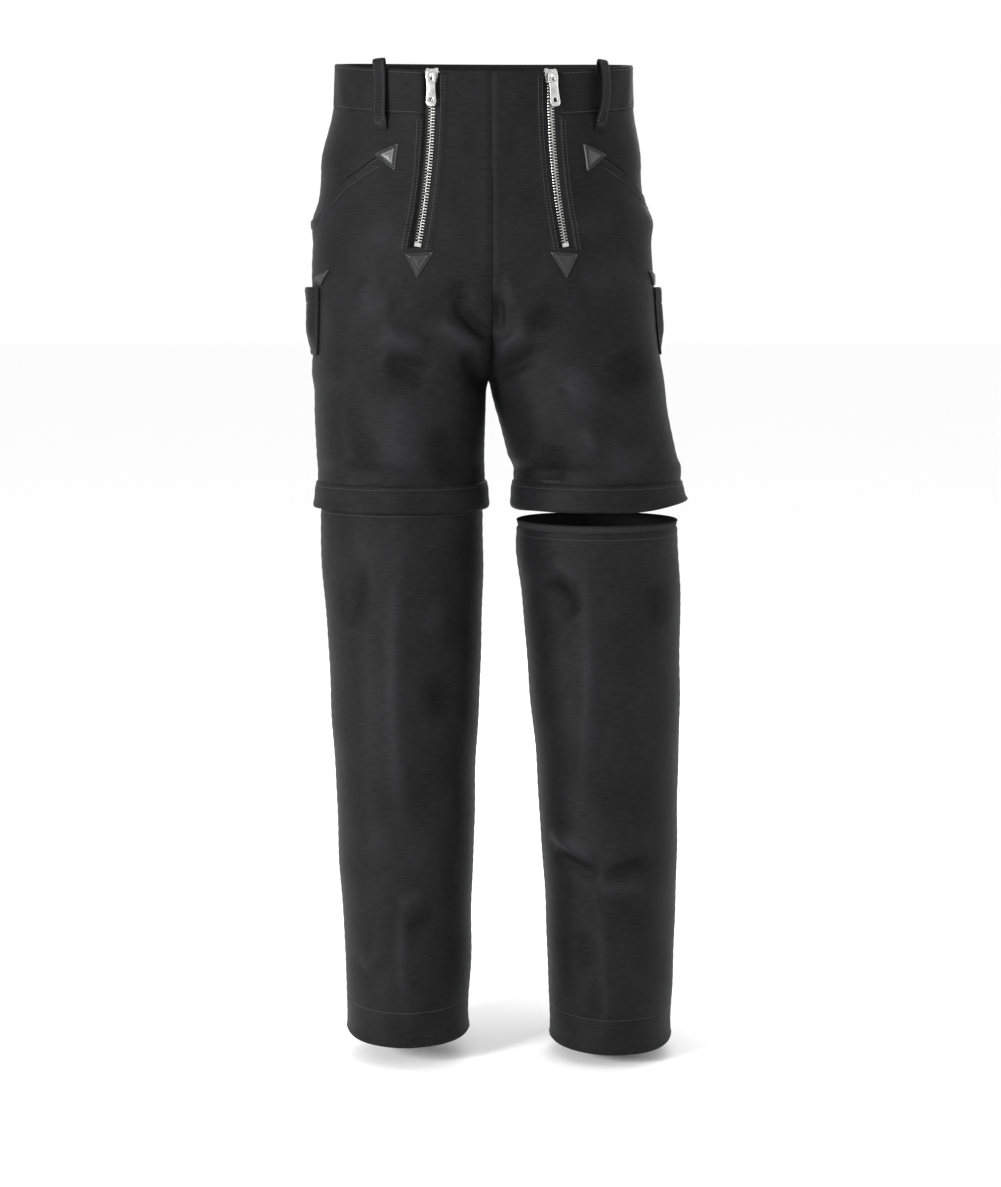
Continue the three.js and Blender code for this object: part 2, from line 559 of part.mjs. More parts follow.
// Slider of a leg zip and its pull, in a frame with +X out of the leg and +Z up.
function legSlider(side, frame) {
  const turn = new THREE.Group();
  turn.rotation.z = THREE.MathUtils.degToRad(side === 'left' ? LEG_SLIDER_ANGLE : 180 - LEG_SLIDER_ANGLE);
  frame.add(turn);
  const half = LEG_SLIDER_HALF;
  const outerFace = RING_RADIUS + 3;
  const plate = 1.1;
  const outer = block(outerFace - plate, outerFace, -half, half, -half, half);
  const inner = block(RING_RADIUS - 3, RING_RADIUS - 3 + plate, -half, half, -half, half);
  const post = block(RING_RADIUS - 2.2, RING_RADIUS + 2.2, half - 3, half - 1, -RING_GAP / 2, RING_GAP / 2);
  const bail = block(outerFace - 0.1, outerFace + 1.9, -1.2, 1.2, -0.2, 4.2);
  const eye = block(outerFace + 0.2, outerFace + 1.3, -2, 2, 0.6, 3.4);
  piece(`leg_zip_slider_${side}`, cut(join(outer, inner, post, bail), eye), metal, turn);
  const hinge = new THREE.Group();
  hinge.position.set(outerFace + 0.75, 0, 2);
  turn.add(hinge);
  const bar = 0.4;
  const tab = block(-0.35, 0.35, -3.4, 3.4, -LEG_PULL_LENGTH, bar);
  const slot = block(-1, 1, -1.7, 1.7, -4, -bar);
  piece(`leg_zip_pull_${side}`, cut(tab, slot), metal, hinge);
}

function lowerPanel(side, face, top, bottom, rows, outside, inside) {
  const shift = (point) => seamShift(side, face, point);
  return sheet(FACETS, rows, (u, v, layer) => {
    const t = Math.max(0, (v * rows - 1) / (rows - 1));
    const z = v > 0 ? (top - ROUND_HEIGHT - 4) * (1 - t) + bottom * t : top;
    const form = stationAt(lowerStations[side], z);
    return shift(pointOn(side, form, Math.PI * (1 - u), face, layer ? inside : outside, z));
  });
}

function buildLowerLeg(side) {
  const leg = new THREE.Group();
  leg.position.z = -DROP[side];
  garment.add(leg);
  const hem = LOWER_TOP - LOWER_LEG_LENGTH;
  for (const face of ['front', 'back']) {
    piece(`lower_leg_${face}_${side}`, lowerPanel(side, face, LOWER_TOP, hem, 8, 0, -CLOTH), cloth, leg);
  }
  const sag = HEM_HALF_DEPTH * (1 - Math.cos(Math.PI / FACETS / 2));
  const outside = -CLOTH - FIT - sag;
  const band = sheet(FACETS * 2, 2, (u, v, layer) => {
    const z = hem + 1 + HEM_BAND_HEIGHT * (1 - v);
    const form = stationAt(lowerStations[side], z);
    const angle = Math.PI * 2 * u;
    const face = angle < Math.PI ? 'front' : 'back';
    return pointOn(side, form, angle < Math.PI ? angle : 2 * Math.PI - angle, face,
      layer ? outside - 1.5 : outside, z);
  }, true);
  piece(`hem_band_${side}`, band, cloth, leg);
  const frame = new THREE.Group();
  frame.position.set(sideSign[side] * STANCE[side], 0, ZIP_LINE_Z);
  leg.add(frame);
  lowerRingTape(side, frame);
}

function buildLegZip(side) {
  const frame = legFrame(side);
  upperRingTape(side, frame);
  hemFlap(side, frame);
  legSlider(side, frame);
}

// ---------- pockets ----------
const plateau = (t, edge) => {
  const s = Math.min(1, t / edge, (1 - t) / edge);
  return s * s * (3 - 2 * s);
};

// A sweep is the angle from the side seam, negative in front of it and positive behind.
const sweepPoint = (side, sweep, offset, z) => pointOn(side, stationAt(upperStations[side], z),
  Math.abs(sweep), sweep < 0 ? 'front' : 'back', offset, z);

function sweepAt(side, face, x, z) {
  const form = stationAt(upperStations[side], z);
  const angle = Math.acos(signedPower(Math.min(1, (x - form.middle) / form.half), form.power / 2));
  return face === 'front' ? -angle : angle;
}

// A pouch that lies against the panels at its edges and stands off by its room in the middle.
// layout is 1 for a patch pocket outside the panel, open at the top, and -1 for a bag inside it.
function pouch(side, { layout, top, bottom, from, to, columns, rows, room, wall }) {
  return sheet(columns, rows, (u, v, layer) => {
    const z = top + (bottom - top) * v;
    const sweep = from(z) + (to(z) - from(z)) * u;
    const lift = room * plateau(u, 0.2) * (layout > 0 ? plateau(0.5 + v / 2, 0.22) : plateau(v, 0.15));
    const seat = layout > 0 ? FIT * 2 : CLOTH + FIT + 0.75;
    return sweepPoint(side, sweep, layout * (seat + lift + (layer ? 0 : wall)), z);
  });
}

function buildPockets(side) {
  const degrees = THREE.MathUtils.degToRad;
  piece(`hip_pocket_bag_${side}`, pouch(side, { layout: -1, top: HIP_BAG.top, bottom: HIP_BAG.bottom,
    from: (z) => sweepAt(side, 'front', HIP_BAG.inner, z), to: () => degrees(HIP_BAG.outerSweep), columns: 7,
    rows: 7, room: POUCH, wall: 1 }), tapeCloth);
  piece(`thigh_pocket_${side}`, pouch(side, { layout: 1, top: THIGH_POCKET_TOP,
    bottom: THIGH_POCKET_TOP - THIGH_POCKET_HEIGHT, from: () => degrees(THIGH_POCKET_SWEEP[0]),
    to: () => degrees(THIGH_POCKET_SWEEP[1]),
    columns: 8, rows: 5, room: POUCH - 2, wall: CLOTH }), cloth);
  piece(`back_pocket_${side}`, pouch(side, { layout: 1, top: BACK_POCKET_TOP,
    bottom: BACK_POCKET_TOP - BACK_POCKET_HEIGHT, from: (z) => sweepAt(side, 'back', BACK_POCKET_SPAN[0], z),
    to: (z) => sweepAt(side, 'back', BACK_POCKET_SPAN[1], z), columns: 8, rows: 6, room: POUCH,
    wall: CLOTH }), cloth);
}

// ---------- belt loops and leather ----------
// A frame on the surface: origin at the point, +Z out of the cloth, +Y as near up as it goes.
function surfaceFrame(side, face, x, z, offset, reach) {
  const at = (dx, dz) => upperAt(side, face, x + dx, z + dz, offset);
  const across = at(-6, 0).sub(at(6, 0));
  const up = at(0, reach).sub(at(0, -reach));
  const normal = across.cross(up).normalize();
  if (normal.y * (face === 'front' ? -1 : 1) < 0) normal.negate();
  const right = up.clone().cross(normal).normalize();
  const frame = new THREE.Group();
  frame.position.copy(at(0, 0));
  const turn = new THREE.Matrix4().makeBasis(right, normal.clone().cross(right), normal);
  frame.quaternion.setFromRotationMatrix(turn);
  garment.add(frame);
  return frame;
}

// A strap folded over at the top, sewn down at both ends: outline in (out of the cloth, height).
function beltLoop(name, side, face, x) {
  const middle = (LOOP_TOP + LOOP_BOTTOM) / 2;
  const half = (LOOP_TOP - LOOP_BOTTOM) / 2;
  const frame = surfaceFrame(side, face, x, middle, 0.6, half);
  const near = face === 'front' ? 1.3 : 2.4;
  const out = near + LOOP_GAP + LOOP_THICKNESS;
  const outline = [
    [near, half], [out - 2, half], [out, half - 2], [out, -half + 6], [out - 3, -half], [near, -half],
    [near, -half + 5], [near + LOOP_THICKNESS, -half + 6], [out - LOOP_THICKNESS, -half + 8],
    [out - LOOP_THICKNESS, half - LOOP_THICKNESS - 1], [near + LOOP_THICKNESS, half - LOOP_THICKNESS],
    [near + LOOP_THICKNESS, half - 18], [near, half - 18]];
  const strap = raised(outline, -LOOP_WIDTH / 2, LOOP_WIDTH / 2).rotateX(Math.PI / 2).rotateZ(Math.PI / 2);
  const stand = strap.applyMatrix4(new THREE.Matrix4().makeBasis(
    new THREE.Vector3(1, 0, 0), new THREE.Vector3(0, 0, 1), new THREE.Vector3(0, -1, 0)));
  piece(name, stand, cloth, frame);
}

// A leather triangle that follows the cloth. corners: three [sweep, z], with the last one blunt.
function leatherPatch(name, side, [a, b, c], seat = FIT) {
  const tip = 0.94;
  piece(name, sheet(4, 3, (u, v, layer) => {
    const blend = (k) => (a[k] * (1 - u) + b[k] * u) * (1 - v * tip) + c[k] * v * tip;
    return sweepPoint(side, blend(0), seat + (layer ? 0 : LEATHER), blend(1));
  }), leather);
}

function buildSmallPieces(side) {
  beltLoop(`belt_loop_front_${side}`, side, 'front', LOOP_PLACE.front);
  beltLoop(`belt_loop_rear_${side}`, side, 'back', LOOP_PLACE.back);
  const at = (face, corners) => corners.map(([x, z]) => [sweepAt(side, face, x, z), z]);
  leatherPatch(`hip_pocket_patch_${side}`, side, at('front', HIP_PATCH));
  leatherPatch(`fly_end_patch_${side}`, side, at('front', FLY_END_PATCH.map(([x, z]) => [FLY_INSET + x, z])));
  leatherPatch(`back_pocket_patch_${side}`, side, at('back', BACK_POCKET_PATCH));
  leatherPatch(`thigh_pocket_patch_${side}`, side, THIGH_POCKET_PATCH.map(([sweep, rise]) => [
    THREE.MathUtils.degToRad(sweep), THIGH_POCKET_TOP + rise]), FIT * 3);
}

for (const side of ['right', 'left']) {
  buildPanels(side);
  buildFlyZip(side);
  buildPockets(side);
  buildSmallPieces(side);
  buildLegZip(side);
  buildLowerLeg(side);
}
beltLoop('belt_loop_centre_back', 'left', 'back', 0);

export default garment;
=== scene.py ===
"""Guild work trousers with zip-off legs: builds the cloth, zips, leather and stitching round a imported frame.

Lengths in the functions are millimetres and are turned to metres when a mesh is made. X runs to the
wearer's left, the front faces -Y and Z is up. Side is -1 for the wearer's right and +1 for the left.
"around" is the angle about a leg from the side seam, negative in front and positive behind.
"""
import json
import math

import bmesh
import bpy
import numpy as np
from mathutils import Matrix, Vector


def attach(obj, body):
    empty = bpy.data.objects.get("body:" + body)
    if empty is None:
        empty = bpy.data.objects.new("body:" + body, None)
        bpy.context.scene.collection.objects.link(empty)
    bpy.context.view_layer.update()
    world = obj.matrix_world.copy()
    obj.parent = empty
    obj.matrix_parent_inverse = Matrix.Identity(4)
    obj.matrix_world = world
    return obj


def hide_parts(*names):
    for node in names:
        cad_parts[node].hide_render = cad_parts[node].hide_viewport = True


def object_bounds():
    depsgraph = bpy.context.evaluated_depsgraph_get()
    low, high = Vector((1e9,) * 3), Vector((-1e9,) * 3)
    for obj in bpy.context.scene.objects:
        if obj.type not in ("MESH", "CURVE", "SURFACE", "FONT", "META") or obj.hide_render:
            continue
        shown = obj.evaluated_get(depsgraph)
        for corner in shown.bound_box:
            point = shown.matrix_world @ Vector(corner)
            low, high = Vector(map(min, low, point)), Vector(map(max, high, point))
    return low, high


bl_info = {
    "name": "Zip-off guild trousers",
    "version": (1, 0, 0),
    "blender": (4, 5, 0),
    "location": "View3D > Sidebar > Trousers",
    "description": "Builds a pair of zip-off work trousers with metal front zips and leather corners",
    "category": "Object",
}

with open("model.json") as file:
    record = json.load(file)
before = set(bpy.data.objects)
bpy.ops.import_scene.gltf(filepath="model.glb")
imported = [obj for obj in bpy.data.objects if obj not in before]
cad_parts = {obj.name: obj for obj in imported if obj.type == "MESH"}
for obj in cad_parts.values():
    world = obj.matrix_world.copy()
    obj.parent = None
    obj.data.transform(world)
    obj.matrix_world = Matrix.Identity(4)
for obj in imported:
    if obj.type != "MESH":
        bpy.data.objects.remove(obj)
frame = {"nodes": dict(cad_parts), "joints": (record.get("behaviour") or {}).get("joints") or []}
CAD_BOX = [list(corner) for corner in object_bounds()]
JOINTS = {joint["name"]: joint for joint in frame["joints"]}
SIDES = {"right": -1, "left": 1}
MM = 0.001

# ---------- cut of the trousers, mm ----------
CLOTH = 2.0
FIT = 0.3
TOUCH = 0.04    # half the hair's breadth left between sewn panels
WAIST_HALF_WIDTH, WAIST_HALF_DEPTH = 158.5, 112.0
HIP_HALF_WIDTH, SEAT_DEPTH = 180.0, 134.0
RIM_FRONT, RIM_BACK = -17.0, 10.0
WAISTBAND_HEIGHT, WAISTBAND_THICKNESS = 45.0, 3.0
FORK_Z, THIGH_HALF_WIDTH = -337.0, 95.0
ZIP_LINE_Z, RING_RADIUS, KNEE_RADIUS = -461.0, 87.0, 88.0
CALF_HALF_WIDTH, HEM_HALF_WIDTH, HEM_HALF_DEPTH = 77.0, 66.0, 78.0
HEM_BAND_HEIGHT = 40.0
STANCE = {-1: 94.5, 1: 119.0}
FOOT_STANCE = {-1: 90.5, 1: 137.0}
DROP = {-1: 0.0, 1: 26.0}
LEG_LENGTH = {-1: 590.0, 1: 575.0}      # the loose leg is drawn 15 mm shorter than its solid
UPPER_BOTTOM, LOWER_TOP = ZIP_LINE_Z + 10, ZIP_LINE_Z - 9
FLY_INSET, ZIP_RADIUS, ZIP_TOP, ZIP_BOTTOM = 61.7, 880.0, -23.0, 160.0
CHAIN_RECESS, SLIT_HALF, TAPE_HALF = 4.7, 8.0, 13.0
FLAP_DROP = 13.0
LOOP_TOP, LOOP_BOTTOM = -3.0, -71.0
THIGH_POCKET_TOP, THIGH_POCKET_HEIGHT = -236.0, 72.0
BACK_POCKET_TOP, BACK_POCKET_HEIGHT = -95.0, 140.0
POCKET_TURN = {-1: 9, 1: 0}     # degrees a thigh pocket is drawn turned forward from its solid
# the hip pocket's mouth: distance from the centre seam, and height
MOUTH = np.array([[60, -96], [119, -103], [150, -123], [171, -144], [182, -164], [200, -171]], float)

# Folds of the worn cloth: from (x, z) to (x, z), half width and height. x is the distance from the
# centre seam, and a negative height is a hollow.
FRONT_FOLDS = {
    -1: [(42, -252, -2, -292, 7, -3.2), (58, -270, 4, -306, 8, 2.6), (120, -282, 66, -300, 12, 2.6),
         (112, -312, 62, -330, 13, -2.6), (30, -300, 6, -350, 9, -2.4), (140, -235, 100, -262, 16, 1.6),
         (96, -345, 92, -440, 20, 2.2), (60, -380, 40, -445, 16, -1.8), (150, -330, 128, -440, 15, -1.6),
         (34, -225, 26, -262, 10, -1.5), (130, -168, 80, -200, 13, 1.2)],
    1: [(16, -222, 24, -262, 7, 1.1), (6, -240, 8, -285, 5, -2.2), (40, -280, 4, -306, 8, 2.8),
        (54, -296, 8, -330, 9, -2.6), (70, -262, 36, -276, 12, -1.7), (112, -330, 78, -352, 20, 2.4),
        (98, -382, 112, -412, 8, 2.0), (128, -300, 160, -345, 18, -1.7), (150, -395, 140, -445, 15, 1.9),
        (70, -400, 62, -448, 15, -1.9), (150, -215, 96, -240, 15, 1.5), (126, -150, 84, -185, 13, 1.2)],
}
BACK_FOLDS = {
    -1: [(20, -290, 90, -300, 10, 2.8), (14, -312, 80, -336, 9, -2.6), (30, -330, 110, -372, 10, 2.2),
         (60, -262, 130, -268, 12, -1.8), (120, -250, 160, -240, 14, 1.4), (80, -360, 90, -440, 18, 2.0),
         (130, -380, 124, -440, 14, -1.6), (24, -90, 70, -110, 16, 1.2)],
    1: [(16, -286, 84, -304, 10, 2.8), (18, -308, 92, -330, 9, -2.6), (26, -334, 100, -380, 11, 2.2),
        (70, -258, 136, -270, 12, -1.8), (118, -246, 160, -246, 14, 1.4), (96, -370, 104, -440, 18, 2.0),
        (150, -380, 146, -440, 14, -1.6), (24, -92, 74, -108, 16, 1.2)],
}
LEG_FRONT_FOLDS = {
    -1: [(104, -500, 100, -830, 9, 1.6), (98, -870, 90, -1060, 6, 1.0), (60, -640, 50, -700, 14, -1.5),
         (140, -520, 150, -600, 12, -1.6), (70, -880, 96, -905, 8, 1.6), (60, -905, 92, -930, 7, -1.3),
         (50, -560, 62, -610, 12, 1.3), (120, -950, 140, -975, 9, 1.1)],
    1: [(106, -512, 104, -800, 9, 1.5), (118, -880, 132, -1070, 6, 1.0), (66, -826, 114, -850, 8, 3.0),
        (72, -848, 120, -872, 8, -2.4), (122, -868, 172, -850, 8, -2.2), (118, -884, 168, -878, 9, 1.6),
        (56, -548, 92, -585, 14, -2.4), (62, -520, 96, -548, 10, 1.4), (172, -545, 180, -600, 12, -1.6),
        (96, -930, 104, -990, 12, -1.3)],
}
LEG_BACK_FOLDS = {
    -1: [(60, -520, 130, -548, 9, 2.4), (70, -548, 136, -572, 8, -2.2), (62, -580, 120, -604, 9, 1.7),
         (100, -640, 96, -1000, 14, 1.5), (70, -900, 120, -930, 9, 1.4)],
    1: [(82, -546, 152, -574, 9, 2.4), (90, -574, 158, -598, 8, -2.2), (88, -606, 140, -630, 9, 1.7),
        (128, -660, 136, -1010, 14, 1.5), (100, -850, 150, -880, 9, 1.8)],
}


# ---------- shape of the body ----------
def upper_stations(side):
    """Rows of height, middle, half width, depth in front, depth behind and superellipse power."""
    lean = -side
    fork, ring, front = THIGH_HALF_WIDTH, RING_RADIUS + 4, WAIST_HALF_DEPTH
    waist, hip, knee = WAIST_HALF_WIDTH, HIP_HALF_WIDTH, STANCE[side]
    drift = knee - STANCE[-1]

    def outer(half, shift, middle):
        return half + lean * shift - middle

    return np.array([
        [30, 0, outer(waist - 1, 4.5, 0), front, front - 4, 2.3],
        [0, 0, outer(waist, 4.5, 0), front, front - 4, 2.3],
        [-50, 0, outer(waist + 2, 5, 0), front + 1, front, 2.3],
        [-110, 0, outer(hip - 8.5, 7, 0), front + 3, SEAT_DEPTH - 10, 2.3],
        [-180, 10, outer(hip, 6.5, 10), front + 5, SEAT_DEPTH, 2.3],
        [-240, 45, outer(hip + 4, 5.5, 45), front + 4, SEAT_DEPTH, 2.35],
        [-300, 80, outer(hip + 7, 3, 80), front, SEAT_DEPTH - 10, 2.35],
        [FORK_Z, fork, fork, front - 4, SEAT_DEPTH - 20, 2.3],
        [FORK_Z - 33, fork + drift * 0.27, fork - 2.5, front - 8, SEAT_DEPTH - 28, 2.2],
        [FORK_Z - 80, fork + drift * 0.72, ring + 0.5, ring + 6, ring + 7, 2.1],
        [UPPER_BOTTOM + 18, knee, ring, ring, ring, 2],
        [UPPER_BOTTOM, knee, ring, ring, ring, 2],
        [UPPER_BOTTOM - 20, knee, ring, ring, ring, 2]], float)


def lower_stations(side):
    """The same rows for a lower leg, which hangs lower by its drop."""
    knee, foot, radius = STANCE[side], FOOT_STANCE[side], KNEE_RADIUS
    length, top = LEG_LENGTH[side], LOWER_TOP - DROP[side]

    def row(share, along, half, front, back):
        return [top - length * share, knee + (foot - knee) * along, half, front, back, 2]

    return np.array([
        row(-0.034, 0, radius, radius, radius), row(0, 0, radius, radius, radius),
        row(0.027, 0, radius, radius, radius), row(0.136, 0.3, radius - 1, radius + 1, radius + 2),
        row(0.525, 0.75, CALF_HALF_WIDTH, radius - 1, radius + 4),
        row(0.864, 1, HEM_HALF_WIDTH + 4, HEM_HALF_DEPTH + 3, HEM_HALF_DEPTH + 6),
        row(1, 1, HEM_HALF_WIDTH, HEM_HALF_DEPTH, HEM_HALF_DEPTH + 2),
        row(1.05, 1, HEM_HALF_WIDTH, HEM_HALF_DEPTH, HEM_HALF_DEPTH + 2)], float)


STATIONS = {("upper", s): upper_stations(s) for s in (-1, 1)}
STATIONS.update({("lower", s): lower_stations(s) for s in (-1, 1)})


def form_at(zone, side, z):
    """Cubic Hermite curve through the stations, level where a value stops rising or falling."""
    rows = STATIONS[zone, side]
    z = np.asarray(z, float)
    k = np.clip(np.searchsorted(-rows[:, 0], -z, side="right") - 1, 0, len(rows) - 2)
    a, b = rows[k], rows[k + 1]
    before, after = rows[np.maximum(k - 1, 0)], rows[np.minimum(k + 2, len(rows) - 1)]
    span = b[..., :1] - a[..., :1]
    t = (z[..., None] - a[..., :1]) / span
    rise = b - a
    slope_a = np.where((a - before) * rise <= 0, 0, (b - before) / (b - before)[..., :1] * span)
    slope_b = np.where((after - b) * rise <= 0, 0, (after - a) / (after - a)[..., :1] * span)
    value = a + t * slope_a + t**2 * (3 * rise - 2 * slope_a - slope_b) + t**3 * (slope_a + slope_b - 2 * rise)
    return np.moveaxis(value, -1, 0)[1:]


def signed_power(value, power):
    """A power of the value's size that keeps its sign."""
    return np.sign(value) * np.abs(value) ** power


def skin(zone, side, around, z, offset=0.0):
    """Superellipse about the leg's middle: x = middle + half cos^(2/n), y = depth sin^(2/n), cut at x = 0."""
    around, z = np.broadcast_arrays(np.asarray(around, float), np.asarray(z, float))
    middle, half, front, back, power = form_at(zone, side, z)
    angle = np.abs(around)
    depth = np.where(around < 0, front, back) + offset
    base = middle + half * signed_power(np.cos(angle), 2 / power)
    x = middle + (half + offset) * signed_power(np.cos(angle), 2 / power)
    if zone == "upper":     # above the fork the two sides meet at the centre seam whatever the offset
        x = base + (x - base) * np.clip(base / 12 + np.clip((FORK_Z - z) / 15, 0, 1), 0, 1)
    y = depth * np.abs(np.sin(angle)) ** (2 / power)
    return np.stack([side * np.maximum(x, 0), np.where(around < 0, -y, y), z], -1)


def around_at(zone, side, face, x, z):
    """The angle at which the cloth stands x from the centre seam, solved from the superellipse."""
    middle, half, _, _, power = form_at(zone, side, z)
    share = np.clip((np.asarray(x, float) - middle) / half, -1, 1)
    return face * np.arccos(signed_power(share, power / 2))


def full_angle(side, z):
    """The angle of the centre seam above the fork, or of the inside leg (half a turn) below it."""
    middle, half, _, _, power = form_at("upper", side, z)
    return np.arccos(-np.minimum(1, np.maximum(0, middle) / half) ** (power / 2))


def rim_at(around):
    """Height of the rim: dips in front, rises behind, level at the sides."""
    s = np.sign(around) * np.sin(np.minimum(np.abs(around), math.pi / 2))
    return (RIM_BACK - RIM_FRONT) / 2 * s + (RIM_BACK + RIM_FRONT) / 2 * s * s


def ridge(x, z, fold):
    """A fold: a bell curve across the line between two points, which fades out at both ends."""
    x0, z0, x1, z1, width, height = fold
    length = math.hypot(x1 - x0, z1 - z0)
    dx, dz = (x1 - x0) / length, (z1 - z0) / length
    t = ((x - x0) * dx + (z - z0) * dz) / length
    bend = 0.12 * length * (t - 0.5) ** 2
    across = (x - x0) * -dz + (z - z0) * dx + bend
    fade = np.clip(1 - np.abs(2 * t - 1) ** 3, 0, 1) ** 1.5
    over = np.maximum(np.abs(2 * t - 1) - 1, 0)
    return height * np.exp(-(across / (0.75 * width)) ** 2 / 2) * np.where(over > 0, 0, fade)


def lift(zone, side, around, z, strength=1.0, seamed=True):
    """How far the cloth stands off its cut shape: folds, slow waves, and grooves along the seams."""
    x, y, z = np.moveaxis(skin(zone, side, around, z), -1, 0)
    x = np.abs(x)
    front = np.asarray(around) < 0
    sets = (FRONT_FOLDS, BACK_FOLDS) if zone == "upper" else (LEG_FRONT_FOLDS, LEG_BACK_FOLDS)
    folds_front = sum(ridge(x, z, fold) for fold in sets[0][side])
    folds_back = sum(ridge(x, z, fold) for fold in sets[1][side])
    near_side = np.exp(-(y / 34) ** 2)
    folds = np.where(front, folds_front, folds_back) * (1 - near_side)
    phase = 1.7 if side > 0 else 0.0
    slow = 0.9 * np.sin(z / 37 + x / 29 + phase) * np.sin(x / 41 - z / 90 + phase)
    slow += 0.45 * np.sin(z / 17 - x / 23 + 2 * phase) * np.sin(z / 61 + x / 13)
    calm = np.clip((-40 - z) / 90, 0, 1) if zone == "upper" else 1.0
    gape = 5.0 * np.exp(-((z + 166) / 15) ** 2) * (zone == "upper") * np.exp(-((np.asarray(around) + 0.1) / 0.35) ** 2)
    pucker = np.sin(z / 1.9 + 2 * np.sin(z / 23)) * 0.16
    side_seam = np.exp(-(y / 2.2) ** 2) * (np.abs(around) < 1)
    beside = np.exp(-((np.abs(y) - 6) / 4) ** 2) * (np.abs(around) < 1)
    inner = (np.abs(around) > 2) | ((zone == "upper") & (x < 40))
    middle_line = x if zone == "upper" else np.abs(y)
    middle_line = np.where((np.abs(around) > 2), np.minimum(middle_line, np.abs(y)), middle_line)
    inner_seam = np.exp(-(middle_line / 2.4) ** 2) * inner
    beside_inner = np.exp(-((middle_line - 6) / 4) ** 2) * inner
    seams = -1.1 * (side_seam + inner_seam) + (0.35 + pucker) * (beside + beside_inner)
    return strength * (2.3 * folds + (1.1 if seamed else 0.4) * slow * calm + gape) + seams * seamed


def cloth_point(zone, side, around, z, extra=0.0, strength=1.0):
    """A point on the folded cloth, with the hair's breadth between front and back panels at the seams."""
    around = np.asarray(around, float)
    off = lift(zone, side, around, z, strength) + extra
    point = skin(zone, side, around, z, off)
    gap = np.stack([np.full(point.shape[:-1], side * TOUCH),
                    np.broadcast_to(np.where(around < 0, -1, 1) * TOUCH, point.shape[:-1]),
                    np.zeros(point.shape[:-1])], -1)
    return point + gap


def cloth_normal(zone, side, around, z, strength=1.0):
    """Outward normal: the cross product of the steps along the two parameters."""
    da, dz = 0.004, 0.4
    along_a = (cloth_point(zone, side, around + da, z, 0, strength)
               - cloth_point(zone, side, around - da, z, 0, strength))
    along_z = (cloth_point(zone, side, around, z + dz, 0, strength)
               - cloth_point(zone, side, around, z - dz, 0, strength))
    normal = np.cross(along_a, along_z)
    normal /= np.maximum(np.linalg.norm(normal, axis=-1, keepdims=True), 1e-9)
    middle = form_at(zone, side, z)[0]
    outward = cloth_point(zone, side, around, z) - np.stack(
        [side * middle, np.zeros_like(middle), np.broadcast_to(z, middle.shape)], -1)
    return normal * np.where((normal * outward).sum(-1, keepdims=True) < 0, -1, 1)


# ---------- meshes ----------
def put_mesh(name, points, faces, materials, face_material=None, uv=None, merge=False, sharp=50, fold_shade_and_highlight=None):
    """Points in mm and faces of one size become a mesh object whose faces point out of its volume."""
    shape = np.shape(faces)
    used, faces = np.unique(faces, return_inverse=True)
    faces = faces.reshape(shape)
    points = np.asarray(points, float)[used] * MM
    corners = points[faces]
    volume = 0.0
    for k in range(1, faces.shape[1] - 1):
        volume += np.einsum("ij,ij->i", corners[:, 0], np.cross(corners[:, k], corners[:, k + 1])).sum()
    if volume < 0:
        faces = faces[:, ::-1]
    mesh = bpy.data.meshes.new(name)
    mesh.vertices.add(len(points))
    mesh.vertices.foreach_set("co", points.ravel())
    mesh.loops.add(faces.size)
    mesh.loops.foreach_set("vertex_index", np.ascontiguousarray(faces, dtype=np.int32).ravel())
    mesh.polygons.add(len(faces))
    mesh.polygons.foreach_set("loop_start", np.arange(0, faces.size, faces.shape[1], dtype=np.int32))
    mesh.polygons.foreach_set("use_smooth", np.ones(len(faces), bool))
    for material in materials:
        mesh.materials.append(material)
    if face_material is not None:
        mesh.polygons.foreach_set("material_index", np.asarray(face_material, dtype=np.int32))
    mesh.update(calc_edges=True)
    if uv is not None:
        layer = mesh.uv_layers.new(name="cloth")
        layer.data.foreach_set("uv", (np.asarray(uv)[used] * MM)[faces.ravel()].astype(np.float32).ravel())
    # painted shade for the fold hollows and painted highlight for the ridges, kept at each point for the cloth's colour
    if fold_shade_and_highlight is not None:
        mesh.attributes.new("fold_shade_and_highlight", "FLOAT", "POINT").data.foreach_set("value", fold_shade_and_highlight[used].astype(np.float32))
    if merge:
        edit = bmesh.new()
        edit.from_mesh(mesh)
        bmesh.ops.remove_doubles(edit, verts=edit.verts, dist=1e-6)
        edit.to_mesh(mesh)
        edit.free()
    mesh.set_sharp_from_angle(angle=math.radians(sharp))
    piece = bpy.data.objects.new(name, mesh)
    bpy.context.collection.objects.link(piece)
    return piece


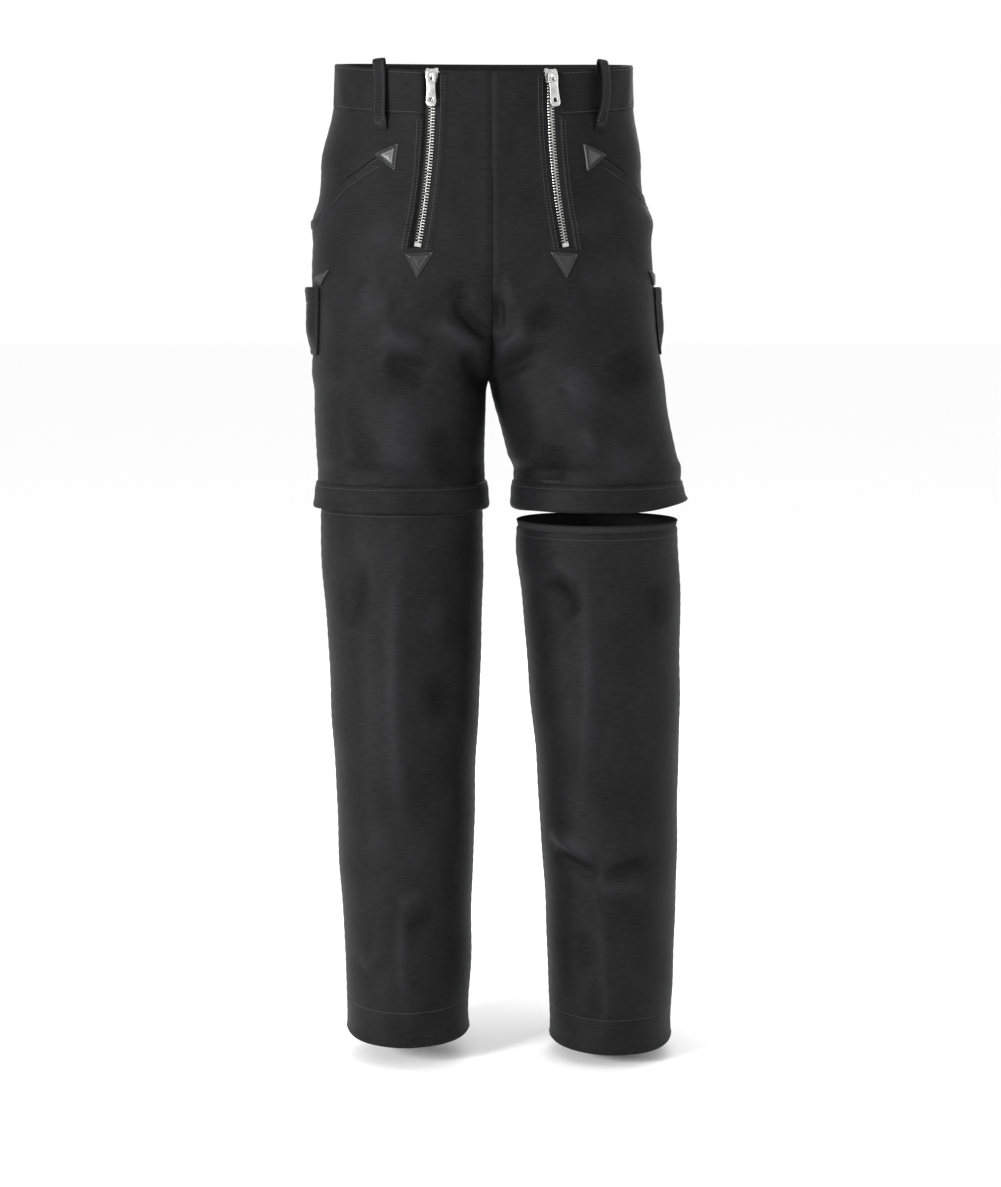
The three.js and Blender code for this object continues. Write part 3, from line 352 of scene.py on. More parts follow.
def shell(name, outer, inner, materials, keep=None, wrap=False, pole=False, sharp=50, fold_shade_and_highlight=None):
    """Two layers of one grid, joined by walls along every edge of the quads that are kept."""
    rows, across = outer.shape[:2]
    columns = across if wrap else across - 1
    keep = np.ones((rows - 1, columns), bool) if keep is None else keep
    index = np.arange(rows * across).reshape(rows, across)
    right = np.roll(index, -1, axis=1) if wrap else index[:, 1:]
    left = index if wrap else index[:, :-1]
    a, b, d, e = left[:-1], right[:-1], right[1:], left[1:]
    under = rows * across
    face = np.stack([a, b, d, e], -1)[keep]
    back = np.stack([a, e, d, b], -1)[keep] + under

    def border(step, axis):
        beside = np.roll(keep, step, axis)
        if axis == 0:
            beside[0 if step > 0 else -1] = False
        elif not wrap:
            beside[:, 0 if step > 0 else -1] = False
        return keep & ~beside

    walls = []
    for start, end, open_edge in ((a, b, border(1, 0)), (b, d, border(-1, 1)), (d, e, border(-1, 0)),
                                  (e, a, border(1, 1))):
        if pole and start is a:
            continue
        walls.append(np.stack([end, start, start + under, end + under], -1)[open_edge])
    walls = np.concatenate(walls)
    faces = np.concatenate([face, back, walls])
    slots = np.concatenate([np.zeros(len(face)), np.ones(len(back)) * (len(materials) > 1), np.zeros(len(walls))])
    run = np.zeros(outer.shape[:2])
    run[:, 1:] = np.linalg.norm(np.diff(outer, axis=1), axis=-1).cumsum(axis=1)
    run -= run[:, across // 2, None]
    uv = np.stack([run, outer[..., 2]], -1).reshape(-1, 2)
    points = np.concatenate([outer.reshape(-1, 3), inner.reshape(-1, 3)])
    # painted fold shade and highlight on the outer layer, none on the inner
    if fold_shade_and_highlight is not None:
        fold_shade_and_highlight = np.concatenate([fold_shade_and_highlight.ravel(), np.zeros(fold_shade_and_highlight.size)])
    return put_mesh(name, points, faces, materials, slots, np.concatenate([uv, uv]), pole, sharp, fold_shade_and_highlight)


def painted_fold_shade_and_highlight(zone, side, around, z):
    """Painted shade and highlight for the cloth's colour, from -0.6 in a hollow to 1 on a ridge: its folds' height over
    5 mm.
    """
    return np.clip(lift(zone, side, around, z, 1.0, False) / 5, -0.6, 1)


def tube(name, centre, first, second, materials, closed=False, sharp=60):
    """A loop of points about each point of a path; first and second are the loop's offsets as
    (path, loop, 3) sums. An open path is closed at both ends by a fan to its own end point."""
    points = centre[:, None, :] + first + second
    count, around = points.shape[:2]
    index = np.arange(count * around).reshape(count, around)
    turned = np.roll(index, -1, axis=1)
    ahead = np.roll(index, -1, axis=0)
    ahead_turned = np.roll(turned, -1, axis=0)
    stop = count if closed else count - 1
    faces = np.stack([index, turned, ahead_turned, ahead], -1)[:stop].reshape(-1, 4)
    points = points.reshape(-1, 3)
    if not closed:
        tips = len(points) + np.array([0, 1])
        points = np.concatenate([points, centre[[0, -1]]])
        low = np.stack([turned[0], index[0], np.full(around, tips[0]), np.full(around, tips[0])], -1)
        high = np.stack([index[-1], turned[-1], np.full(around, tips[1]), np.full(around, tips[1])], -1)
        tri = np.concatenate([faces[:, [0, 1, 2]], faces[:, [0, 2, 3]], low[:, :3], high[:, :3]])
        return put_mesh(name, points, tri, materials, sharp=sharp)
    return put_mesh(name, points, faces, materials, sharp=sharp)


def repeated(name, template, faces, places, materials, sharp=50):
    """One small template at many places. A place is its origin and three axes, as an (n, 4, 3) array."""
    points = places[:, None, 0] + np.einsum("kj,njc->nkc", template, places[:, 1:])
    shift = np.arange(len(places))[:, None, None] * len(template)
    return put_mesh(name, points.reshape(-1, 3), (faces[None] + shift).reshape(-1, faces.shape[1]), materials,
                    sharp=sharp)


def ready(piece, body, slot, *nodes):
    """Puts a finished piece in the frame: its body and the plain solids it stands for, which it hides. The slot, its
    finish, is not used.
    """
    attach(piece, body)
    if nodes:
        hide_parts(*nodes)
    return piece


# ---------- stitches ----------
def thread_template():
    """A stitch as a spindle: two rings of six points and two tips, along its first axis."""
    turn = np.arange(6) * math.pi / 3
    rings = [np.stack([np.full(6, x), np.cos(turn), np.sin(turn)], -1) for x in (-0.33, 0.33)]
    points = np.concatenate([*rings, [[-0.5, 0, 0], [0.5, 0, 0]]])
    faces = []
    for i in range(6):
        j = (i + 1) % 6
        faces += [[i, j, 6 + j], [i, 6 + j, 6 + i], [j, i, 12], [6 + i, 6 + j, 13]]
    return points, np.array(faces)


def stitch_places(points, normals, pitch, length, radius):
    """Stations a pitch apart along a line, each with its tangent, cross and outward axes scaled."""
    run = np.concatenate([[0], np.linalg.norm(np.diff(points, axis=0), axis=1).cumsum()])
    at = np.arange(pitch / 2, run[-1] - pitch / 3, pitch)

    def along(values, where):
        return np.stack([np.interp(where, run, values[:, k]) for k in range(3)], -1)

    tangent = along(points, at + 0.8) - along(points, at - 0.8)
    tangent /= np.maximum(np.linalg.norm(tangent, axis=1, keepdims=True), 1e-9)
    normal = along(normals, at)
    normal /= np.maximum(np.linalg.norm(normal, axis=1, keepdims=True), 1e-9)
    cross = np.cross(normal, tangent)
    return np.stack([along(points, at), tangent * length, cross * radius, normal * radius * 0.8], 1)


def sew(name, body, runs, sizes, material):
    """Rows of stitches in one piece. A run is its points and normals."""
    template, faces = thread_template()
    places = [stitch_places(p, n, sizes.stitch_pitch / MM, sizes.stitch_pitch / MM * 0.78,
                            sizes.thread_width / MM / 2) for p, n in runs]
    piece = repeated(name, template, faces, np.concatenate(places), [material], sharp=180)
    return ready(piece, body, "cloth")


def line_on(zone, side, around, z, raise_by=0.15, strength=1.0):
    """A line on the cloth, for stitches."""
    around, z = np.broadcast_arrays(np.asarray(around, float), np.asarray(z, float))
    return (cloth_point(zone, side, around, z, raise_by, strength), cloth_normal(zone, side, around, z, strength))


# ---------- front zips: a plane arc about the slide's joint ----------
class Zip:
    """The plane of a front zip: its arc's centre, and axes inboard, along and out of the cloth."""

    def __init__(self, name):
        self.side = SIDES[name]
        joint = JOINTS[f"fly_zip_slide_{name}"]
        axis = np.array(joint["axis"], float)
        self.centre = np.array(joint["pos_m"], float) / MM
        self.out = axis if axis[1] < 0 else -axis
        outward = np.cross([0, 0, 1], self.out)
        outward *= np.sign(outward[0]) * self.side / np.linalg.norm(outward)
        self.inboard = -outward
        self.third = np.cross(self.out, self.inboard)

    def at(self, across, along, height=0.0):
        """across runs towards the side of the body, along runs down the zip."""
        across, along, height = np.broadcast_arrays(*(np.asarray(v, float) for v in (across, along, height)))
        angle = along / ZIP_RADIUS * self.side
        radius = (ZIP_RADIUS - across)[..., None]
        return (self.centre + radius * (np.cos(angle)[..., None] * self.inboard
                + np.sin(angle)[..., None] * self.third) + height[..., None] * self.out)

    def axes(self, along):
        """Unit vectors down the zip, across it towards the side, and out."""
        down = self.at(0, along + 0.5) - self.at(0, along - 0.5)
        down /= np.linalg.norm(down, axis=-1, keepdims=True)
        across = self.at(1, along) - self.at(0, along)
        return down, across, np.broadcast_to(self.out, down.shape)

    def edge(self, across, z):
        """The angle round the body at which a line beside the zip meets the cloth, at each height."""
        along = np.linspace(-70, 200, 120)
        base = self.at(across, along)
        step = np.zeros(len(along))
        for _ in range(5):
            point = base + step[:, None] * self.out
            around = around_at("upper", self.side, -1, np.abs(point[:, 0]), point[:, 2])
            target = skin("upper", self.side, around, point[:, 2])
            step = step + (target[:, 1] - point[:, 1]) / self.out[1]
        order = np.argsort(point[:, 2])
        return np.interp(z, point[order, 2], around[order])


ZIPS = {name: Zip(name) for name in SIDES}
SLIT_END_Z = {SIDES[name]: float(ZIPS[name].at(0, ZIP_BOTTOM + 1)[2]) for name in SIDES}


# ---------- cloth panels ----------
def spread(start, end, count):
    """count + 1 rows from one height to another, each a whole row of columns."""
    t = np.linspace(0, 1, count + 1)[:, None]
    return start * (1 - t) + end * t


def front_panel(name, layers):
    """The front: columns from the centre seam to the zip slit and on to the side seam, and rows that
    bend along the pocket's mouth. Quads in the slit and in the mouth are left out."""
    side, zip_line = SIDES[name], ZIPS[name]
    inboard, outboard = 34, 84
    above, between, below = 26, 40, 110
    slit_z = SLIT_END_Z[side]

    def angles(z):
        reach = full_angle(side, z)
        held = np.maximum(z, slit_z)
        near = zip_line.edge(-SLIT_HALF, held)
        far = zip_line.edge(SLIT_HALF, held)
        scale = np.where(z < slit_z, reach / full_angle(side, np.full_like(z, slit_z)), 1)
        return -reach, near * scale, far * scale

    u_in = np.linspace(0, 1, inboard + 1)
    u_out = 1 - np.linspace(0, 1, outboard + 1)

    def around_of(z):
        centre, near, far = angles(z)
        split = inboard + 1
        first = centre[:, :split] + (near - centre)[:, :split] * u_in
        return np.concatenate([first, far[:, split:] * u_out], 1)

    count = inboard + outboard + 2
    ones = np.ones((1, count))
    rim = rim_at(around_of(ones * RIM_FRONT))
    foot = rim - WAISTBAND_HEIGHT - FIT
    top = np.where(np.arange(count) <= inboard, rim, foot)
    mouth = ones * -115.0
    for _ in range(3):
        x = np.abs(skin("upper", side, around_of(mouth), mouth)[..., 0])
        mouth = np.interp(x, MOUTH[:, 0], MOUTH[:, 1])
    z = np.concatenate([spread(top, mouth + 0.9, above), spread(mouth - 0.9, ones * slit_z, between),
                        spread(ones * slit_z, ones * UPPER_BOTTOM, below)[1:]])
    around = around_of(z)
    x = np.abs(skin("upper", side, around, z)[..., 0])
    keep = np.ones((len(z) - 1, count - 1), bool)
    keep[:above + 1 + between, inboard] = False
    keep[above] &= ~((x[above, :-1] > 118) & (x[above, :-1] < 176))
    # rolled edges: the cloth turns under beside the zip and along the mouth
    beside = np.minimum(np.abs(around - zip_line.edge(-SLIT_HALF, z)), np.abs(around - zip_line.edge(SLIT_HALF, z)))
    beside = beside * WAIST_HALF_WIDTH + 200 * (z < slit_z)
    over = z - np.interp(x, MOUTH[:, 0], MOUTH[:, 1])
    in_mouth = np.clip((x - 104) / 14, 0, 1)
    roll = 0.8 * np.exp(-((beside - 4) / 3) ** 2) - 1.0 * np.exp(-beside / 0.9)
    roll += in_mouth * np.where(over > 0, -0.8 * np.exp(-over / 9), 1.3 * np.exp(over / 7) - np.exp(over / 1.1))
    roll -= 0.8 * np.exp(-(((over + 10.5) / 0.9) ** 2)) * in_mouth
    outer = cloth_point("upper", side, around, z, roll)
    inner = cloth_point("upper", side, around, z, np.minimum(roll, 0) * 0.6 - CLOTH, 1.0)
    # the cloth's colour gets painted shade in the fold hollows and painted highlight on the ridges
    piece = shell(f"front_panel_cloth_{name}", outer, inner, layers, keep, fold_shade_and_highlight=painted_fold_shade_and_highlight("upper", side, around, z))
    return ready(piece, "garment", "cloth", f"front_panel_{name}")


def back_panel(name, layers):
    """The back: columns from the side seam to the centre seam, rows from the waistband down."""
    side = SIDES[name]
    u = np.linspace(0, 1, 111)[None]
    share = np.linspace(0, 1, 171)[:, None]
    z = np.full((171, 111), -200.0)
    for _ in range(3):
        around = full_angle(side, z) * u
        top = rim_at(around[:1]) - WAISTBAND_HEIGHT - FIT
        z = top * (1 - share) + UPPER_BOTTOM * share
    around = full_angle(side, z) * u
    outer = cloth_point("upper", side, around, z)
    inner = cloth_point("upper", side, around, z, -CLOTH)
    # the cloth's colour gets painted shade in the fold hollows and painted highlight on the ridges
    piece = shell(f"back_panel_cloth_{name}", outer, inner, layers, fold_shade_and_highlight=painted_fold_shade_and_highlight("upper", side, around, z))
    return ready(piece, "garment", "cloth", f"back_panel_{name}")


def waistband(name, layers):
    """A band 45 mm high from the zip round to the centre back, with rounded edges and a sewn foot."""
    side, zip_line = SIDES[name], ZIPS[name]
    share = np.linspace(0, 1, 36)[:, None]
    start = zip_line.edge(SLIT_HALF + 0.6, RIM_FRONT - WAISTBAND_HEIGHT * share)
    around = start + (math.pi / 2 - start) * np.linspace(0, 1, 170)[None]
    z = rim_at(around) - WAISTBAND_HEIGHT * share
    height = WAISTBAND_HEIGHT * share
    edge = np.minimum(height, WAISTBAND_HEIGHT - height)
    round_off = 0.9 * np.exp(-edge / 0.9)
    seam = 0.5 * np.exp(-((height - WAISTBAND_HEIGHT + 3) / 1.0) ** 2)
    wave = 0.35 * np.sin(around * 19 + height / 14) * np.clip(height / 20, 0.2, 1)
    end = 0.9 * np.exp(-np.abs(around - start) * WAIST_HALF_WIDTH / 0.9)
    shift = np.array([side * TOUCH, 0, 0])
    outer = skin("upper", side, around, z, 0.6 + wave - round_off - seam - end) + shift
    inner = skin("upper", side, around, z, 0.6 - WAISTBAND_THICKNESS + round_off * 0.8) + shift
    piece = shell(f"waistband_cloth_{name}", outer, inner, layers)
    return ready(piece, "garment", "cloth", f"waistband_{name}")


def lower_panel(name, face, layers):
    """Half of a lower leg, from the outside seam to the inside seam, with its hem turned in."""
    side = SIDES[name]
    top, length = LOWER_TOP - DROP[side], LEG_LENGTH[side]
    u = np.linspace(0, 1, 91)[None]
    share = np.linspace(0, 1, 201)[:, None]
    around = face * (math.pi * u)
    around = np.where(np.abs(around) < 1e-6, face * 1e-6, around)
    corner = 5 * np.exp(-(around / 0.5) ** 2) + 3 * np.exp(-((np.abs(around) - math.pi) / 0.5) ** 2)
    rise = (4.0 if face < 0 and side > 0 else 0) * np.sin(np.abs(around)) ** 2
    z = top - length * share + corner * share ** 8 + rise * (1 - share) ** 12
    around = np.broadcast_to(around, z.shape)
    height = z - (top - length)
    hem_line = 0.7 * np.exp(-((height - HEM_BAND_HEIGHT) / 1.1) ** 2)
    hem_edge = 1.0 * np.exp(-height / 1.0)
    below_top = top - z
    head = 0.9 * np.exp(-below_top / 1.2) + 0.8 * np.exp(-((below_top - 7) / 1.1) ** 2)
    flare = 3.5 * np.exp(-height / 11) * np.abs(np.cos(around)) ** 3
    calm = np.clip(below_top / 25, 0.15, 1)
    outer = cloth_point("lower", side, around, z, flare - hem_line - hem_edge - head, calm)
    inner = cloth_point("lower", side, around, z, flare - CLOTH - hem_line * 0.3, calm)
    label = "front" if face < 0 else "back"
    # the cloth's colour gets painted shade in the fold hollows and painted highlight on the ridges
    piece = shell(f"lower_leg_{label}_cloth_{name}", outer, inner, layers, fold_shade_and_highlight=painted_fold_shade_and_highlight("lower", side, around, z))
    return ready(piece, f"lower_leg_{name}", "cloth", f"lower_leg_{label}_{name}")


def hem_band(name, layers):
    """The turned-up hem inside a lower leg's end: a ring with a slight wave along its upper edge."""
    side = SIDES[name]
    foot = LOWER_TOP - DROP[side] - LEG_LENGTH[side]
    turn = np.linspace(0, 2 * math.pi, 160, endpoint=False)[None]
    around = np.where(turn < math.pi, -turn - 1e-6, 2 * math.pi - turn)
    share = np.linspace(0, 1, 12)[:, None]
    around = np.broadcast_to(around, (12, 160))
    corner = 5 * np.exp(-(around / 0.5) ** 2) + 3 * np.exp(-((np.abs(around) - math.pi) / 0.5) ** 2)
    z = foot + 1.2 + corner * (1 - share) + HEM_BAND_HEIGHT * share + 0.5 * np.sin(around * 9) * share
    flare = 3.5 * np.exp(-(z - foot) / 11) * np.abs(np.cos(around)) ** 3
    outer = cloth_point("lower", side, around, z, flare - CLOTH - 0.9)
    inner = cloth_point("lower", side, around, z, flare - CLOTH - 2.2)
    return ready(shell(f"hem_band_cloth_{name}", outer, inner, layers, wrap=True), f"lower_leg_{name}", "cloth",
                 f"hem_band_{name}")


def hem_flap(name, layers):
    """The flap over a leg zip: a ring that starts on the thigh and stands off below its stitch line."""
    side = SIDES[name]
    turn = np.linspace(0, 2 * math.pi, 200, endpoint=False)[None]
    share = np.linspace(0, 1, 40)[:, None]
    outer_side = np.cos(turn) > 0
    lift_side = (9 if side > 0 else 3) * np.clip(np.cos(turn), 0, 1) ** 2
    top, bottom = UPPER_BOTTOM + 6, ZIP_LINE_Z - FLAP_DROP
    wave = 1.3 * np.sin(turn * 3 + side) + 0.7 * np.sin(turn * 7)
    z = top * (1 - share) + bottom * share + (lift_side + 0.6 * wave) * share ** 2
    flare = np.where(outer_side, 4.0 if side > 0 else 1.5, 0.0) * np.abs(np.cos(turn)) ** 2 * share ** 2
    below = (top - z)
    round_off = 0.8 * np.exp(-(bottom - z) / -1.0) + 0.9 * np.exp(-below / 1.0)
    line = 0.7 * np.exp(-((below - 4) / 0.9) ** 2)
    radius = RING_RADIUS + 6.2 + 1.3 * np.clip(below / 9, 0, 1) + flare + 0.2 * (wave + 2) * share
    puff = 0.7 * np.exp(-((z - bottom - 5) / 4) ** 2)
    middle = np.array([side * STANCE[side], 0, 0])

    def ring(r):
        return middle + np.stack([side * r * np.cos(turn) * np.ones_like(z), r * np.sin(turn) * np.ones_like(z), z], -1)

    outer = ring(radius + puff - round_off - line)
    inner = ring(np.minimum(radius, radius + puff - round_off) - 1.5)
    piece = shell(f"hem_flap_cloth_{name}", outer, inner, layers, wrap=True)
    return ready(piece, "garment", "cloth", f"hem_flap_{name}")


# ---------- pockets ----------
def plateau(t, edge):
    """A smooth step up from 0 and down to 0 again over a share of the way at each end."""
    s = np.clip(np.minimum(t, 1 - t) / edge, 0, 1)
    return s * s * (3 - 2 * s)


def pouch(label, name, layers, side, layout, top, bottom, start, end, room, wall, columns=56, rows=48):
    """A pouch that lies against the cloth at its sewn edges and stands off by its room in the middle."""
    share = np.linspace(0, 1, rows)[:, None]
    z = top + (bottom - top) * share + np.zeros((1, columns))
    u = np.linspace(0, 1, columns)[None]
    around = start(z) * (1 - u) + end(z) * u
    from_top = (top - z)
    down = plateau(0.5 + share / 2, 0.22) if layout > 0 else plateau(share, 0.15)
    stand = room * plateau(u, 0.2) * down
    edge = np.minimum(np.minimum(u, 1 - u) * 90, (z - bottom) if layout > 0 else 99)
    seat = FIT * 2 if layout > 0 else CLOTH + FIT + 0.75
    detail = np.zeros_like(z) - 0.8 * np.exp(-edge / 1.0) - 0.6 * np.exp(-((edge - 5.5) / 0.8) ** 2)
    if layout > 0:
        detail -= 0.8 * np.exp(-from_top / 1.0) + 0.7 * np.exp(-((from_top - 17) / 0.9) ** 2)
        detail += 0.5 * np.exp(-((from_top - 6) / 7) ** 2)
    detail += 0.5 * np.sin(z / 15 + u * 6) * plateau(u, 0.3) * plateau(share, 0.2)
    beneath = lift("upper", side, around, z)
    outer = skin("upper", side, around, z, beneath + layout * (seat + stand + wall) + detail)
    inner = skin("upper", side, around, z, beneath + layout * (seat + stand))
    if layout < 0:
        outer, inner = inner, outer
    return ready(shell(f"{label}_cloth_{name}", outer, inner, layers), "garment",
                 "cloth" if layout > 0 else "zip_tape_and_lining", f"{label}_{name}")


# ---------- leather ----------
def leather_corner(label, name, corners, seat, material):
    """A moulded leather triangle: rings from its middle out to a rounded triangle, whose height has a
    rolled rim, a sewn groove and a raised inner triangle."""
    side = SIDES[name]
    corners = np.array(corners, float)
    corners = corners.mean(axis=0) + (corners - corners.mean(axis=0)) * 1.13
    before, after = np.roll(corners, 1, axis=0), np.roll(corners, -1, axis=0)
    t = np.linspace(0, 1, 12)[None, :, None]
    soft = 0.09
    start = (corners + (before - corners) * soft)[:, None]
    end = (corners + (after - corners) * soft)[:, None]
    bend = (1 - t) ** 2 * start + 2 * t * (1 - t) * corners[:, None] + t**2 * end
    next_start = np.roll(start, -1, axis=0)
    straight = end + (next_start - end) * np.linspace(0, 1, 14)[None, 1:-1, None]
    outline = np.concatenate([bend, straight], 1).reshape(-1, 2)
    centre = corners.mean(axis=0)
    r = np.concatenate([np.linspace(0, 0.5, 6), np.linspace(0.54, 1, 26)])[:, None]
    place = centre + (outline - centre) * r[..., None]
    rise = (1.0 + 0.55 * np.exp(-((r - 0.9) / 0.05) ** 2) - 0.55 * np.exp(-((r - 0.77) / 0.045) ** 2)
            + 0.5 * np.exp(-((r - 0.6) / 0.05) ** 2) + 0.25 * np.exp(-(r / 0.3) ** 2)
            - 0.9 * np.exp(-(1 - r) / 0.02))
    around, z = place[..., 0], place[..., 1]
    off = lift("upper", side, around, z) + seat
    outer = skin("upper", side, around, z, off + rise)
    inner = skin("upper", side, around, z, off - 0.1)
    piece = shell(f"{label}_leather_{name}", outer, inner, [material], wrap=True, pole=True)
    ready(piece, "garment", "leather", f"{label}_{name}")
    ring = centre + (outline - centre) * 0.775
    ring = np.concatenate([ring, ring[:1]])
    off = lift("upper", side, ring[:, 0], ring[:, 1]) + seat + 0.55
    return (skin("upper", side, ring[:, 0], ring[:, 1], off), cloth_normal("upper", side, ring[:, 0], ring[:, 1]))


# ---------- belt loops ----------
def loop_frame(side, face, x):
    """A frame on the waistband: origin, right, up and out of the cloth."""
    middle = (LOOP_TOP + LOOP_BOTTOM) / 2
    reach = (LOOP_TOP - LOOP_BOTTOM) / 2

    def at(dx, dz):
        around = around_at("upper", side, face, x + dx, middle + dz)
        if x + dx < 0:
            point = at(-dx, dz)
            return point * np.array([-1, 1, 1])
        return skin("upper", side, around, np.array(middle + dz), 0.6)

    across, up = at(-6, 0) - at(6, 0), at(0, reach) - at(0, -reach)
    out = np.cross(across, up)
    out /= np.linalg.norm(out)
    out *= np.sign(out[1]) * face
    right = np.cross(up, out)
    right /= np.linalg.norm(right)
    return at(0, 0), right, np.cross(out, right), out


def smooth_path(points, count):
    """A round path through a few corner points: corners cut four times, then evenly spaced."""
    points = np.array(points, float)
    for _ in range(4):
        a, b = points[:-1], points[1:]
        cut = np.stack([a * 0.75 + b * 0.25, a * 0.25 + b * 0.75], 1).reshape(-1, points.shape[1])
        points = np.concatenate([points[:1], cut[1:-1], points[-1:]])
    run = np.concatenate([[0], np.linalg.norm(np.diff(points, axis=0), axis=1).cumsum()])
    at = np.linspace(0, run[-1], count)
    return np.stack([np.interp(at, run, points[:, k]) for k in range(points.shape[1])], -1)


def belt_loop(node, side, face, x, slack, twist, material):
    """A folded strap: its side view is a round path from the sewn foot, up, over and down again, carried
    across its width. Slack bows it out, and twist turns one edge further out than the other."""
    origin, right, up, out = loop_frame(side, face, x)
    half = (LOOP_TOP - LOOP_BOTTOM) / 2
    near = 1.3 if face < 0 else 2.4
    far = near + 5.0
    path = smooth_path([(near + 1, -half - 4), (near + 1, -half + 3), (near + 2, -half + 7), (far - 1, -half + 12),
                        (far + slack, -half + 28), (far + slack, half - 16), (far, half - 3), (far - 2.5, half),
                        (near + 2, half - 0.5), (near + 1, half - 4), (near + 1, half - 18)], 90)
    step = np.gradient(path, axis=0)
    step /= np.linalg.norm(step, axis=1, keepdims=True)
    across = np.linspace(-1, 1, 17)
    half_width = 7.5
    outline = path[:, None] * np.ones((1, 17, 1))
    free = plateau(np.linspace(0, 1, 90), 0.3)[:, None]
    outline[..., 0] += twist * free * across[None]
    normal = np.stack([step[:, 1], -step[:, 0]], -1)[:, None]
    thick = 1.0 - 0.55 * np.abs(across) ** 6 - 0.25 * np.exp(-((np.abs(across) - 0.72) / 0.07) ** 2)
    sides = []
    for direction in (1, -1):
        flat = outline + direction * normal * thick[None, :, None]
        sides.append(origin + flat[..., :1] * out + flat[..., 1:] * up + (across * half_width)[None, :, None] * right)
    piece = shell(f"{node}_strap", sides[0], sides[1], [material], sharp=60)
    ready(piece, "garment", "cloth", node)
    runs = []
    for edge in (-0.72, 0.72):
        row = outline[8:70, 8 + round(edge * 8)]
        line = row + normal[8:70, 0] * 0.85
        points = origin + line[:, :1] * out + line[:, 1:] * up + edge * half_width * right
        axis = normal[8:70, 0]
        runs.append((points, axis[:, :1] * out + axis[:, 1:] * up))
    tack = np.linspace(-6, 6, 12)[:, None]
    for height in (-half + 1.6, -half + 3.4):
        points = origin + (near + 2.1) * out + height * up + tack * right
        runs.append((points, np.broadcast_to(out, points.shape)))
    return runs


# ---------- metal ----------
def plate_rings(outline, low, high, bevel):
    """A convex plate: its outline at four heights, drawn in by the bevel at the lowest and highest."""
    centre = outline.mean(axis=0)
    size = np.linalg.norm(outline - centre, axis=1, keepdims=True)
    inset = centre + (outline - centre) * (1 - bevel / size)
    levels = [(inset, low), (outline, low + bevel), (outline, high - bevel), (inset, high)]
    return centre, levels


def plate(zip_line, origin_along, outline, low, high, bevel, dome=0.0):
    """Points and triangles of a bevelled plate in the zip's plane. outline is (across, along)."""
    centre, levels = plate_rings(np.asarray(outline, float), low, high, bevel)
    rings = [zip_line.at(o[:, 0], origin_along + o[:, 1], h) for o, h in levels]
    tips = [zip_line.at(centre[0], origin_along + centre[1], low), zip_line.at(centre[0], origin_along + centre[1],
                                                                               high + dome)]
    points = np.concatenate([*rings, [tips[0]], [tips[1]]])
    n = len(outline)
    i = np.arange(n)
    j = (i + 1) % n
    faces = []
    for k in range(3):
        a, b = k * n + i, k * n + j
        faces += [np.stack([a, b, b + n], -1), np.stack([a, b + n, a + n], -1)]
    faces += [np.stack([j, i, np.full(n, 4 * n)], -1), np.stack([3 * n + i, 3 * n + j, np.full(n, 4 * n + 1)], -1)]
    return points, np.concatenate(faces)


def combine(parts):
    """Several point and triangle sets as one."""
    points, faces, count = [], [], 0
    for p, f in parts:
        points.append(p)
        faces.append(f + count)
        count += len(p)
    return np.concatenate(points), np.concatenate(faces)


def tooth_template():
    """A cast tooth: chamfered sections along its reach, waisted behind a rounded head. Its axes are
    along the zip, across it and out."""
    sections = [(-0.9, 0.35, 0.7), (-0.55, 0.62, 1.15), (0.2, 0.68, 1.3), (1.1, 0.52, 1.2), (1.7, 0.62, 1.3),
                (3.2, 0.7, 1.35), (3.7, 0.55, 1.0)]
    octagon = np.array([[1, 0.55], [0.6, 1], [-0.6, 1], [-1, 0.55], [-1, -0.55], [-0.6, -1], [0.6, -1], [1, -0.55]])
    points = np.concatenate([np.stack([octagon[:, 0] * w, np.full(8, a), octagon[:, 1] * h], -1)
                             for a, w, h in sections])
    points = np.concatenate([points, [[0, sections[0][0], 0], [0, sections[-1][0], 0]]])
    i = np.arange(8)
    j = (i + 1) % 8
    faces = []
    for k in range(len(sections) - 1):
        a, b = k * 8 + i, k * 8 + j
        faces += [np.stack([a, b, b + 8], -1), np.stack([a, b + 8, a + 8], -1)]
    last = (len(sections) - 1) * 8
    faces += [np.stack([j, i, np.full(8, len(points) - 2)], -1),
              np.stack([last + i, last + j, np.full(8, len(points) - 1)], -1)]
    return points, np.concatenate(faces)


def zip_chain(name, label, hand, pitch, material):
    """One side of the chain: a tooth every pitch down the arc, staggered by half a pitch, and a top stop."""
    zip_line = ZIPS[name]
    first = ZIP_TOP + 17.5 + (pitch / 2 if hand > 0 else 0)
    along = np.arange(first, ZIP_BOTTOM - 4.5, pitch)
    down, across, out = zip_line.axes(along)
    template, faces = tooth_template()
    places = np.stack([zip_line.at(0, along, -CHAIN_RECESS), down, across * hand, out], 1)
    points = places[:, None, 0] + np.einsum("kj,njc->nkc", template, places[:, 1:])
    shift = np.arange(len(along))[:, None, None] * len(template)
    teeth = (points.reshape(-1, 3), (faces[None] + shift).reshape(-1, 3))
    top = plate(zip_line, ZIP_TOP, [(hand * 2.9, 0.3), (hand * 5.9, 0.3), (hand * 6.3, 2.5),
                                          (hand * 5.9, 4.8), (hand * 2.9, 4.8)], -CHAIN_RECESS - 1.6,
                -CHAIN_RECESS + 1.6, 0.5)
    piece = put_mesh(f"fly_zip_teeth_{label}_{name}", *combine([teeth, top]), [material], sharp=35)
    return ready(piece, "garment", "metal", f"fly_zip_chain_{label}_{name}")


